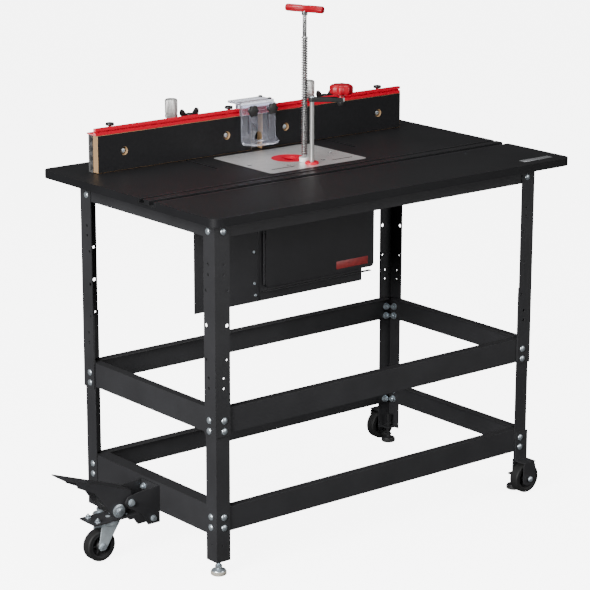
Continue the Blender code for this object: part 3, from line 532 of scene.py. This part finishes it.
def feet():
    """Zinc levelling feet: thread, lock nut and cone on a pad. The right-hand feet are painted dark as shade.
    """
    for corner in LEGS:
        node = f"foot_{corner}"
        at = middle(node)
        stem_top = span(node)[1].z
        body = BODY_OF[node]
        foot = Vector((at.x, at.y, 0.0))
        metal = Solids()
        # The right-hand feet, behind the caster wheels, take the hub's black and the dark pad as painted shade.
        in_painted_shade = "right" in corner
        metal.turned([(0, 9), (16.5, 9), (17.2, 10), (16.5, 11.6), (9.5, 13.2), (6.8, 15), (6.4, 18), (0, 18)],
                     foot)
        nut_low, nut_high = foot + UP * 18.2, foot + UP * 23.6
        metal.rod(nut_low, nut_high, 8.4, sides=6)
        metal.thread(nut_high, foot + UP * stem_top, 4.8)
        metal.done(f"leveller_{corner}", HUB if in_painted_shade else ZINC, body, "zinc", replaces=(node,))
        pad = Solids().turned([(0, 0), (16.5, 0), (18.3, 1.5), (18.5, 3), (18.5, 8), (17.2, 8.9), (0, 8.9)],
                              foot)
        pad.done(f"pad_{corner}", PAINTED_SHADE_PAD if in_painted_shade else PAD, body, "black_plastic")


# ---------------------------------------------------------------- wheels and pedal unit
def caster_wheel(node, name):
    """Tread on a ribbed hub with a bearing."""
    low, high = span(node)
    centre, radius, half = (low + high) / 2, (high.z - low.z) / 2, (high.y - low.y) / 2
    body = BODY_OF[node]
    arc = [(radius - 3 + 3 * math.sin(turn), half - 4 + 4 * math.cos(turn))
           for turn in (math.radians(15 * n) for n in range(7))]
    inner = radius - 9.0
    far_arc = [(r, -h) for r, h in reversed(arc)]
    tread = [(inner, half - 1)] + arc + far_arc + [(inner, 1 - half), (inner, half - 1)]
    Solids().turned(tread, centre, BACK, 56).done(f"{name}_tread", RUBBER, body, "rubber", replaces=(node,))
    hub = Solids()
    rim = inner - 0.1
    hub.turned([(rim - 3.5, -half + 1.5), (rim, -half + 0.8), (rim, half - 0.8), (rim - 3.5, half - 1.5),
                (rim - 4.5, half - 6), (rim - 4.5, 6 - half), (rim - 3.5, -half + 1.5)], centre, BACK, 56)
    hub.turned([(12, -2), (rim - 4.4, -2), (rim - 4.4, 2), (12, 2), (12, -2)], centre, BACK, 40)
    hub.turned([(6.2, -half), (11, -half), (12.5, -half + 2), (12.5, half - 2), (11, half), (6.2, half),
                (6.2, -half)], centre, BACK, 32)
    for spoke in range(6):
        turn = Matrix.Rotation(math.tau * spoke / 6, 4, "Y")
        before = len(hub.bm.verts)
        hub.block((12.0, -half + 5, -1.6), (rim - 4.2, half - 5, 1.6), 0.5)
        hub.bm.verts.ensure_lookup_table()
        hub.settle(hub.bm.verts[before:], Matrix.Translation(centre) @ turn)
    hub.done(f"{name}_hub", HUB, body, "rubber")
    bearing = Solids()
    for side in (-1, 1):
        bearing.turned([(5.8, side * (half - 1.2)), (6.15, side * (half - 1.2)), (6.15, side * (half + 0.6)),
                        (5.8, side * (half + 0.6)), (5.8, side * (half - 1.2))], centre, BACK, 24)
    bearing.done(f"{name}_bearing", ZINC, body, "zinc")


def fixed_casters():
    for corner, out in (("front_right", FRONT), ("back_right", BACK)):
        caster_wheel(f"wheel_{corner}", f"caster_{corner}")
        node = f"caster_bracket_{corner}"
        dress(node, POWDER, 0.6)
        low, high = span(node)
        axle = middle(f"wheel_{corner}")
        face = (low.y if out is FRONT else high.y)
        cap = Vector((axle.x, face, axle.z))
        bolts = Solids().turned([(0, 0), (7.2, 0), (7.2, 1.2), (6.2, 3.4), (4, 4.6), (0, 4.9)], cap, out, 28)
        bolts.done(f"axle_bolt_{corner}", ZINC, BODY_OF[node], "zinc")


PEDAL_SLOPE = 0.36                  # fall of the tread, per millimetre
PEDAL_PIVOT = (-22.0, 138.0)        # x and z
ARM_PIVOT = (40.0, 86.0)
PIN_REACH = 36.2                    # outer faces of the unit's bracket, from its middle
SWIVEL_X = -64.0                    # axis of the swivel caster


def pedal_unit():
    """Foot lever, cam roller, arm and swivel caster, with their bolts."""
    dress("pedal", POWDER, 0.7)
    dress("pedal_bracket", POWDER, 0.6)
    dress("caster_arm", POWDER, 0.6)
    dress("pedal_roller", STEEL, 0.8)
    dress("caster_fork", FORK_ZINC, 0.6)
    caster_wheel("caster_wheel", "lift_caster")
    y = middle("pedal_bracket").y
    plate_x = span("pedal_bracket")[1].x - 3.5
    pins = Solids()
    for side in (FRONT, BACK):
        for (pivot_x, pivot_z), across in ((PEDAL_PIVOT, 11.5), (ARM_PIVOT, 10.5)):
            face = Vector((pivot_x, y, pivot_z)) + side * PIN_REACH
            washer = across * 0.75
            pins.turned([(4.7, 0), (washer, 0), (washer, 1.6), (4.7, 1.6), (4.7, 0)], face, side, 28)
            pins.rod(face + side * 1.7, face + side * 7.5, across / math.sqrt(3), sides=6)
    for dy in (-22.0, 22.0):
        for z in (146.0, 92.0):
            pins.hex_nut((plate_x - 0.05, y + dy, z), LEFT, 11.0, 5.0, 3.2, 3.0)
    pins.done("pedal_bracket_bolts", ZINC, BODY_OF["pedal_bracket"], "zinc", 0.3)

    roller = middle("pedal_roller")
    caps = Solids()
    for side in (FRONT, BACK):
        start = roller + side * 26.2
        caps.turned([(0, 0), (15.5, 0), (16.5, 0.8), (16.5, 2.6), (15.5, 3.4), (6.5, 3.4), (6.5, 5.6),
                     (5.5, 6.4), (0, 6.4)], start, side, 36)
    caps.done("pedal_roller_caps", ZINC, BODY_OF["pedal"], "zinc")
    treads = Solids()
    low, high = span("pedal")
    lean = Matrix.Rotation(math.atan(PEDAL_SLOPE), 4, "Y")
    for row in range(7):
        x = low.x + 7.0 + 11.0 * row
        z = high.z - PEDAL_SLOPE * (x - low.x) + 0.1
        before = len(treads.bm.verts)
        treads.block((-1.2, -21, -0.3), (1.2, 21, 0.9), 0.3)
        treads.bm.verts.ensure_lookup_table()
        treads.settle(treads.bm.verts[before:], Matrix.Translation((x, y, z)) @ lean)
    treads.done("pedal_tread_ribs", POWDER, BODY_OF["pedal"], "powder_coat")

    swivel = Vector((SWIVEL_X, y, 0))
    under_arm, over_arm = 100.0, 104.1
    races = Solids()
    races.turned([(6.6, under_arm - 1.9), (24, under_arm - 1.9), (26, under_arm - 1.2), (26, under_arm - 0.3),
                  (6.6, under_arm - 0.3), (6.6, under_arm - 1.9)], swivel, UP, 40)
    races.done("swivel_race", ZINC, BODY_OF["caster_arm"], "zinc")
    screws = Solids()
    for dy in (-20.0, 20.0):
        screws.hex_nut((swivel.x - 42.0, y + dy, over_arm), UP, 10.0, 4.5, 3.0, 3.5)
    for dy in (-14.0, 14.0):                    # low heads, clear of the roller when the pedal is down
        screws.carriage_head((swivel.x + 42.0, y + dy, over_arm), UP, 5.0)
    screws.done("swivel_plate_nuts", ZINC, BODY_OF["caster_arm"], "zinc", 0.2)
    axle = middle("caster_wheel")
    nuts = Solids()
    for side in (FRONT, BACK):
        nuts.rod(axle + side * 17.6, axle + side * 23.5, 7.2, sides=6)
        nuts.turned([(4.1, 0), (8.2, 0), (8.2, 1.0), (4.1, 1.0), (4.1, 0)], axle + side * 17.55, side, 24)
    nuts.done("caster_axle_nuts", ZINC, BODY_OF["caster_fork"], "zinc", 0.3)


# ---------------------------------------------------------------- top, tracks, plate
PLATE_SCREWS = ((417, 414), (492, 357), (597, 355), (665, 411))
SET_SCREWS = ((490, 528), (612, 528), (548, 488), (478, 425), (484, 312), (686, 468))
RING_HOLE_R = 34.0                  # circle that the insert ring's two holes lie on


def top_and_plate():
    """Laminate top, its track and label, and the lift plate with screws, marks and insert ring."""
    # The top's bevelled edges get a light grey painted highlight.
    dress("table_top", LAMINATE, 1.1, segments=1, edge=PAINTED_EDGE_HIGHLIGHT)
    dress("combo_track", ANODISED, 0.35)
    drills = Solids()
    for x, y in PLATE_SCREWS:
        drills.turned([(0, -6), (3.2, -6), (3.2, -3.2), (6.4, 0.05), (6.4, 1), (0, 1)], (x, y, TOP_Z))
    for x, y in SET_SCREWS:
        drills.rod((x, y, TOP_Z - 5), (x, y, TOP_Z + 1), 2.6)
    dress("router_plate", ALUMINIUM, 0.6, drills.done("cut_plate_holes", None, None, None))
    screws = Solids()
    for x, y in PLATE_SCREWS:
        screws.turned([(0, -3.4), (2.6, -3.4), (6.0, -0.35), (2.5, -0.35), (2.5, -2.2), (0, -2.2)],
                      (x, y, TOP_Z), UP, 24)
    screws.done("plate_screws", MOULDED, BODY_OF["router_plate"], "black_plastic")
    levellers = Solids()
    for x, y in SET_SCREWS:
        levellers.turned([(0, -4.5), (2.5, -4.5), (2.5, -0.3), (2.1, -0.1), (1.2, -0.1), (1.2, -1.6),
                          (0, -1.6)], (x, y, TOP_Z), UP, 16)
    levellers.done("plate_set_screws", ZINC, BODY_OF["router_plate"], "zinc")
    marks = Solids()
    for x0, x1 in ((425, 495), (612, 675)):
        marks.block((x0, 336, TOP_Z + 0.02), (x1, 341, TOP_Z + 0.12))
    marks.done("plate_plain_marks", MOULDED, BODY_OF["router_plate"], "black_plastic")
    centre = Vector((PLATE.x, PLATE.y, TOP_Z))
    reducer = Solids().turned([(14, -5.5), (20.6, -5.5), (20.6, -1.2), (14.6, -1.2), (14, -1.8), (14, -5.5)],
                              centre, UP, 56)
    reducer.done("insert_reducer", RED, BODY_OF["insert_ring"], "anodised_red")
    ring_holes = Solids()
    for turn in (0.6, 0.6 + math.pi):
        hole = centre + Vector((math.cos(turn), math.sin(turn), 0)) * RING_HOLE_R
        ring_holes.rod(hole - UP * 5, hole + UP, 3.0)
    dress("insert_ring", RED, 0.5, ring_holes.done("cut_ring_holes", None, None, None))
    label = Solids().block((960, 30, TOP_Z + 0.05), (1056, 50, TOP_Z + 0.6), 0.2)
    label.done("blank_label", LABEL, BODY_OF["table_top"], "aluminium")


# ---------------------------------------------------------------- dust box and lift
def dust_box():
    """Painted sheet box with its door, hinge, screws and hose outlet."""
    dress("dust_box", SHEET, 0.4)
    dress("dust_box_door", SHEET, 0.8)
    low, high = span("dust_box")
    door_low, door_high = span("dust_box_door")
    front = low.y + 9.0
    screws = Solids()
    for x, z in ((340, 683), (342, 606), (345, 577)):
        screws.socket_head((x, front - 0.05, z), FRONT, 3.4, 2.0, 1.6)
    for x, z in ((370, 580), (660, 580), (370, 820), (660, 820)):
        screws.socket_head((x, high.y + 0.05, z), BACK, 3.4, 2.0, 1.6)
    screws.done("dust_box_screws", ZINC, BODY_OF["dust_box"], "zinc")
    seam = Solids().block((352, front - 0.9, low.z + 1), (356.5, front - 0.05, high.z - 1), 0.2)
    seam.done("dust_box_seam", SHEET, BODY_OF["dust_box"], "powder_coat")
    hinge = Solids()
    knuckles = 7
    pitch = (door_high.z - door_low.z - 12) / knuckles
    for n in range(knuckles):
        z = door_low.z + 6 + n * pitch
        pin = Vector((door_low.x - 2.6, door_low.y + 3.2, z))
        hinge.rod(pin + UP * 0.4, pin + UP * (pitch - 0.4), 2.4, sides=16)
    hinge.done("door_hinge", SHEET, BODY_OF["dust_box"], "powder_coat")
    tag = Solids().block((588, door_low.y - 0.5, 603), (688, door_low.y - 0.05, 622), 0.15)
    tag.done("blank_door_tag", TAG, BODY_OF["dust_box_door"], "powder_coat")
    flange = Solids()
    outlet = Vector((506.0, high.y, 635.0))
    flange.turned([(50.3, 0.1), (58, 0.1), (58, 2.0), (52.5, 2.6), (52.5, 3.0), (50.3, 3.0), (50.3, 0.1)],
                  outlet, BACK, 56)
    flange.done("outlet_flange", MOULDED, BODY_OF["dust_box"], "black_plastic")


def lift():
    """The lift's frame, carriage and lead screw, inside the dust box."""
    dress("lift_frame", ALUMINIUM, 0.6)
    dress("lift_carriage", ALUMINIUM, 1.2)
    screw_low, screw_high = span("lead_screw")
    at = middle("lead_screw")
    stem = Solids().thread((at.x, at.y, screw_low.z), (at.x, at.y, screw_high.z), 5.0, 2.2, 20)
    stem.done("lead_screw_thread", STEEL, BODY_OF["lead_screw"], "zinc", replaces=("lead_screw",))
    clamp = Solids()
    low, high = span("lift_carriage")
    for z in (low.z + 20, high.z - 20):
        for x in (low.x + 18, high.x - 18):
            clamp.socket_head((x, low.y - 0.05, z), FRONT, 6.0, 5.0, 3.0)
    clamp.done("motor_clamp_screws", ZINC, BODY_OF["lift_carriage"], "zinc")


# ---------------------------------------------------------------- crank and wrench
CRANK_AT = Vector((544.5, 334.0, 0.0))
ARM_RADII = (9.5, 8.0)              # round ends of the arm, at the post and at the knob
ARM_DEEP = 10.2
BAR_ALONG = Vector((0.358, -0.934, 0)).normalized()
BAR_HALF, BAR_R = 51.0, 9.0


def crank():
    """Post with a black arm, a red ring at its foot and a scalloped red knob."""
    dress("crank", MACHINED, 0.5)
    body = BODY_OF["crank"]
    knob_low, knob_high = span("crank_knob")
    knob = middle("crank_knob")
    reach = Vector((knob.x - CRANK_AT.x, knob.y - CRANK_AT.y, 0.0))
    along, across = reach.normalized(), Vector((-reach.y, reach.x, 0.0)).normalized()
    top = span("crank")[1].z + 0.15
    sleeve = Solids()
    outline = []
    for end, radius, first in ((CRANK_AT, ARM_RADII[0], 90), (CRANK_AT + reach, ARM_RADII[1], -90)):
        for n in range(9):
            turn = math.radians(first + 180 * n / 8)
            outline.append(end + along * radius * math.cos(turn) + across * radius * math.sin(turn))
    sleeve.prism([(p.x, p.y) for p in outline], top - ARM_DEEP, top, "Z")
    sleeve.done("crank_arm_cover", MOULDED, body, "black_plastic", 1.2)
    ring = Solids().turned([(15.7, 0.5), (16.6, 0.5), (16.6, 4.4), (15.6, 5.6), (5.9, 5.6), (5.9, 3.6),
                            (15.7, 3.6), (15.7, 0.5)], CRANK_AT + UP * TOP_Z, UP, 48)
    ring.done("crank_collar_ring", RED, body, "anodised_red")
    grip = Solids()
    height = knob_high.z - knob_low.z
    radius = (knob_high.x - knob_low.x) / 2
    grip.turned([(0, 5), (9, 5), (14, 6), (radius - 4, 8), (radius - 1, 11), (radius, 15),
                 (radius, height - 7), (radius - 1.5, height - 3.5), (radius - 5, height - 1.2), (10, height),
                 (0, height)],
                (knob.x, knob.y, knob_low.z), UP, 96, 8, 0.13, (7, height - 1))
    grip.done("crank_knob_grip", RED_KNOB, BODY_OF["crank_knob"], "anodised_red", replaces=("crank_knob",))
    neck = Solids().turned([(0, 0.1), (8.8, 0.1), (8.2, 2), (8.2, 4.9), (0, 4.9)],
                           (knob.x, knob.y, knob_low.z), UP, 28)
    neck.done("crank_knob_neck", RED_KNOB, BODY_OF["crank_knob"], "anodised_red")
    nub = Solids().turned([(0, -0.2), (8.8, -0.2), (8.8, -6), (7.2, -8.4), (0, -8.4)],
                          CRANK_AT + reach + UP * (top - ARM_DEEP), UP, 24)
    nub.done("crank_arm_nub", MOULDED, body, "black_plastic")
    cap = Solids().socket_head(CRANK_AT + UP * (top + 0.05), UP, 6.5, 2.5, 3.0)
    cap.done("crank_cap_screw", ZINC, body, "zinc")


def wrench():
    """Steel shaft with a fluted red bar, standing in a coil spring."""
    body = BODY_OF["lift_wrench"]
    low, high = span("lift_wrench")
    at = middle("wrench_collar")
    foot = Vector((at.x, at.y, 0.0))
    spring_low, spring_high = span("wrench_spring")
    bar_z = high.z - BAR_R
    shaft = Solids()
    shaft.turned([(0, low.z), (4.2, low.z), (5.0, low.z + 1), (5.0, bar_z), (0, bar_z)], foot, UP, 28)
    stop = spring_high.z + 0.5
    shaft.turned([(5.05, stop), (7.6, stop), (7.6, stop + 2.9), (5.05, stop + 2.9), (5.05, stop)], foot, UP, 28)
    shaft.turned([(5.05, bar_z - 16), (7.0, bar_z - 15), (7.4, bar_z - 7), (5.05, bar_z - 7),
                  (5.05, bar_z - 16)], foot, UP, 28)
    shaft.done("wrench_shaft", STEEL, body, "zinc", replaces=("lift_wrench",))
    bar = Solids()
    right_end = [(8.4, 8), (BAR_R, 9), (BAR_R, BAR_HALF - 3.5), (8.0, BAR_HALF - 1.2), (5.5, BAR_HALF),
                 (0, BAR_HALF)]
    left_end = [(radius, -along) for radius, along in reversed(right_end)]
    bar.turned(left_end + right_end, foot + UP * bar_z, BAR_ALONG, 64, 8, 0.16, (3 - BAR_HALF, BAR_HALF - 3))
    bar.done("wrench_bar", RED_KNOB, body, "anodised_red")
    coil = Solids().coil(foot, 6.9, 1.2, spring_low.z, spring_high.z, 48)
    piece = coil.done("wrench_coil", SPRING, BODY_OF["wrench_spring"], "zinc", replaces=("wrench_spring",))
    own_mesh(piece)
    dress("wrench_collar", NYLON, 1.0)


# ---------------------------------------------------------------- fence and guard
FACE_BOLT_X, FACE_BOLT_Z = 152.4, 46.6          # from a face's middle, and above the top


def fence():
    """Extrusion with a red top track, two board faces, their bolts and the disc knobs behind."""
    dress("fence_extrusion", SAWN, 0.4)
    dress("fence_top_track", TRACK_RED, 0.5)
    dress("fence_dust_port", MOULDED, 0.6)
    for side in ("left", "right"):
        node = f"fence_face_{side}"
        dress(node, FACE_BOARD, 1.0, segments=1)
        at = middle(node)
        bolts = Solids()
        for dx in (-FACE_BOLT_X, FACE_BOLT_X):
            spot = Vector((at.x + dx, FACE_Y + 5.5, TOP_Z + FACE_BOLT_Z))
            bolts.turned([(0, -8), (5.8, -8), (5.8, 0), (4.8, 1.4), (2.6, 1.6), (2.6, -0.8), (0, -0.8)],
                         spot, FRONT, 24)
        bolts.done(f"face_bolts_{side}", ZINC, BODY_OF[node], "zinc")
    # Disc knobs stand in lugs on the back of the extrusion.
    knobs, lugs = Solids(), Solids()
    back = FENCE_HIGH.y
    for x in (FENCE_LOW.x + 71, PLATE.x - 49, FENCE_HIGH.x - 40):
        lugs.block((x - 10, back + 0.1, TOP_Z + 58), (x + 10, back + 24, TOP_Z + 70), 0.8)
        knobs.rod((x, back + 13, TOP_Z + 50), (x, back + 13, TOP_Z + 101.5), 3.8)
        knobs.turned([(0, 0), (9.5, 0), (10.3, 1), (10.3, 5), (9.2, 6.3), (0, 6.8)],
                     (x, back + 13, TOP_Z + 101.6), UP, 48, 24, 0.03, (0.5, 5.5))
    knobs.done("fence_disc_knobs", MOULDED, BODY_OF["fence_extrusion"], "black_plastic")
    lugs.done("fence_lugs", MACHINED, BODY_OF["fence_extrusion"], "aluminium")


def fence_clamps():
    """The brackets behind the fence, with a tall knurled nut and a winged knob on each."""
    for side in ("left", "right"):
        bracket = f"fence_bracket_{side}"
        dress(bracket, ANODISED, 0.6)
        screws = Solids()
        low, high = span(bracket)
        for x in (low.x + 12, (low.x + high.x) / 2, high.x - 12):
            screws.socket_head((x, low.y + 8.05, TOP_Z + 60), BACK, 5.0, 4.5, 2.6)
        screws.done(f"fence_bracket_screws_{side}", ZINC, BODY_OF[bracket], "zinc")
        node = f"clamp_nut_{side}"
        low, high = span(node)
        at = middle(node)
        base = Vector((at.x, at.y, TOP_Z + 0.6))
        top = high.z - base.z
        nut = Solids()
        nut.turned([(0, -18), (7.5, -18), (7.5, -12.5), (3.3, -12.5), (3.3, 9), (7.2, 9), (7.2, 16), (6.2, 17),
                    (6.2, 85), (11, 86), (11, 95), (14.3, 96), (15.5, 97.5), (15.5, 104), (14.4, 105),
                    (14.4, 107), (15.5, 108), (15.5, top - 3.5), (14.2, top - 1.2), (12.5, top), (5, top),
                    (4.2, top - 1.5), (0, top - 1.5)],
                   base, UP, 120, 40, 0.055, (97, top - 3))
        nut.done(f"knurled_nut_{side}", MACHINED, BODY_OF[node], "aluminium", replaces=(node,), smooth=30)
        node = f"wing_knob_{side}"
        at = middle(node)
        base = Vector((at.x, at.y, TOP_Z + 0.6))
        knob = Solids()
        knob.turned([(0, 1), (3.2, 1), (3.2, 9), (6, 9), (6, 86), (9, 89), (9.4, 99), (7.5, 101), (0, 102)],
                    base, UP, 28)
        wing = ((7, 90), (20, 93), (26.5, 98), (27.5, 104), (26, 110.5), (21, 113), (16, 108), (11, 101),
                (7, 100))
        for sign in (-1, 1):
            outline = [(at.x + sign * across, base.z + up) for across, up in wing]
            knob.prism(outline, at.y - 3.8, at.y + 3.8, "Y")
        knob.done(f"wing_grip_{side}", MOULDED, BODY_OF[node], "black_plastic", 1.2, replaces=(node,))


def guard():
    """Clear bridge and shield with two black star knobs."""
    dress("guard_mount", CLEAR, 0.7)
    dress("guard_shield", CLEAR, 0.7)
    low, high = span("guard_mount")
    screws = Solids()
    for y in (low.y + 9, high.y - 7):
        screws.turned([(0, 0), (5.2, 0), (5.2, 2.2), (4, 3.4), (0, 3.8)], (high.x - 7, y, high.z + 0.05),
                      UP, 24)
    screws.done("guard_screws", MOULDED, BODY_OF["guard_mount"], "black_plastic")
    for side in ("left", "right"):
        node = f"guard_knob_{side}"
        knob_low, knob_high = span(node)
        at = middle(node)
        depth = knob_high.y - knob_low.y
        base = Vector((at.x, knob_high.y, at.z))
        star = Solids()
        star.turned([(0, 0), (2.9, 0), (2.9, 5.3), (6, 5.4), (7, depth - 13), (14.2, depth - 10.5),
                     (15, depth - 9), (15, depth - 3.5), (13.5, depth - 1.2), (9, depth - 0.2), (0, depth)],
                    base, FRONT, 60, 6, 0.2, (depth - 11, depth - 1))
        star.done(f"star_knob_{side}", MOULDED, BODY_OF[node], "black_plastic", replaces=(node,))
        washer = Solids().turned([(7.0, 0), (9.5, 0), (9.5, 1.2), (7.0, 1.2), (7.0, 0)],
                                 base + FRONT * (depth - 14.5), FRONT, 28)
        washer.done(f"star_knob_band_{side}", ZINC, BODY_OF[node], "zinc")


# ---------------------------------------------------------------- studio
CAMERA_AT = (-2934.4, -3906.2, 1998.2)          # table millimetres
CAMERA_TURN = (38.95, -14.92, 0.12)             # azimuth, tilt and roll in degrees
CAMERA_LENS = 141.9
SKY = (("From Min", -0.3), ("From Max", 0.6), ("To Min", 0.75), ("To Max", 1.3))
WHITE = 7.0                                     # strength of the backdrop
THROUGH_CLEAR = 0.3                             # share of it seen through clear plastic
FLOOR_HALF = 20.0                               # metres
# Each lamp's name, place, target, size and power, in metres and watts.
LAMPS = (("key", (-3.6, -1.2, 1.9), (0, 0, 0.5), 2.2, 330.0),
         ("fill", (1.6, -4.0, 1.8), (0, 0, 0.5), 2.6, 90.0),
         ("top", (0.2, 0.4, 4.2), (0, 0, 0.8), 3.0, 100.0))


def floor():
    """A plain pale floor, lit so that the camera sees it as bright as the backdrop."""
    mesh = bpy.data.meshes.new("floor")
    corners = [(sx * FLOOR_HALF, sy * FLOOR_HALF, 0) for sx, sy in ((-1, -1), (1, -1), (1, 1), (-1, 1))]
    mesh.from_pydata(corners, [], [(0, 1, 2, 3)])
    ground = bpy.data.objects.new("floor", mesh)
    ground.location.z = -0.0006
    pale = finish("pale_floor", (0.88, 0.88, 0.88), 0.85, grain=(4.0, 0.0), vary=(900.0, 0.01), shine=0.0)
    glow = pale.node_tree.nodes["Principled BSDF"].inputs
    glow["Emission Color"].default_value = (1, 1, 1, 1)
    glow["Emission Strength"].default_value = WHITE - 0.8
    mesh.materials.append(pale)
    for ray in ("diffuse", "glossy", "transmission", "shadow"):
        setattr(ground, f"visible_{ray}", False)
    bpy.context.scene.collection.objects.link(ground)


def studio():
    """The camera, three soft lamps and the surroundings."""
    eye = bpy.data.cameras.new("camera")
    eye.lens = CAMERA_LENS
    eye.sensor_width = 36.0
    eye.clip_end = 100.0
    camera = bpy.data.objects.new("camera", eye)
    azimuth, tilt, roll = (math.radians(angle) for angle in CAMERA_TURN)
    turn = (Matrix.Rotation(-azimuth, 4, "Z") @ Matrix.Rotation(math.pi / 2 + tilt, 4, "X")
            @ Matrix.Rotation(roll, 4, "Z"))
    camera.matrix_world = Matrix.Translation(to_world(CAMERA_AT)) @ turn
    bpy.context.scene.collection.objects.link(camera)
    bpy.context.scene.camera = camera

    # The camera sees plain white; the table itself is lit by a sky that gets brighter upwards.
    world = bpy.data.worlds.new("studio")
    world.use_nodes = True
    tree = world.node_tree
    sky = tree.nodes["Background"]
    where = tree.nodes.new("ShaderNodeTexCoord")
    split = tree.nodes.new("ShaderNodeSeparateXYZ")
    tree.links.new(where.outputs["Generated"], split.inputs[0])
    ramp = tree.nodes.new("ShaderNodeMapRange")
    for key, number in SKY:
        ramp.inputs[key].default_value = number
    tree.links.new(split.outputs[2], ramp.inputs["Value"])
    tree.links.new(ramp.outputs["Result"], sky.inputs["Strength"])
    white = tree.nodes.new("ShaderNodeBackground")
    white.inputs["Strength"].default_value = WHITE
    path = tree.nodes.new("ShaderNodeLightPath")
    seen = tree.nodes.new("ShaderNodeMath")
    seen.operation = "MULTIPLY_ADD"
    seen.inputs[1].default_value = THROUGH_CLEAR
    tree.links.new(path.outputs["Is Transmission Ray"], seen.inputs[0])
    tree.links.new(path.outputs["Is Camera Ray"], seen.inputs[2])
    choose = tree.nodes.new("ShaderNodeMixShader")
    tree.links.new(seen.outputs[0], choose.inputs[0])
    tree.links.new(sky.outputs[0], choose.inputs[1])
    tree.links.new(white.outputs[0], choose.inputs[2])
    tree.links.new(choose.outputs[0], tree.nodes["World Output"].inputs["Surface"])
    bpy.context.scene.world = world
    for name, place, target, size, power in LAMPS:
        light = bpy.data.lights.new(name, "AREA")
        light.size = size
        light.energy = power
        lamp = bpy.data.objects.new(name, light)
        lamp.location = place
        lamp.rotation_euler = (Vector(target) - Vector(place)).to_track_quat("-Z", "Y").to_euler()
        bpy.context.scene.collection.objects.link(lamp)


# ---------------------------------------------------------------- build
legs()
stand_bolts()
feet()
fixed_casters()
pedal_unit()
top_and_plate()
dust_box()
lift()
crank()
wrench()
fence()
fence_clamps()
guard()
floor()
studio()
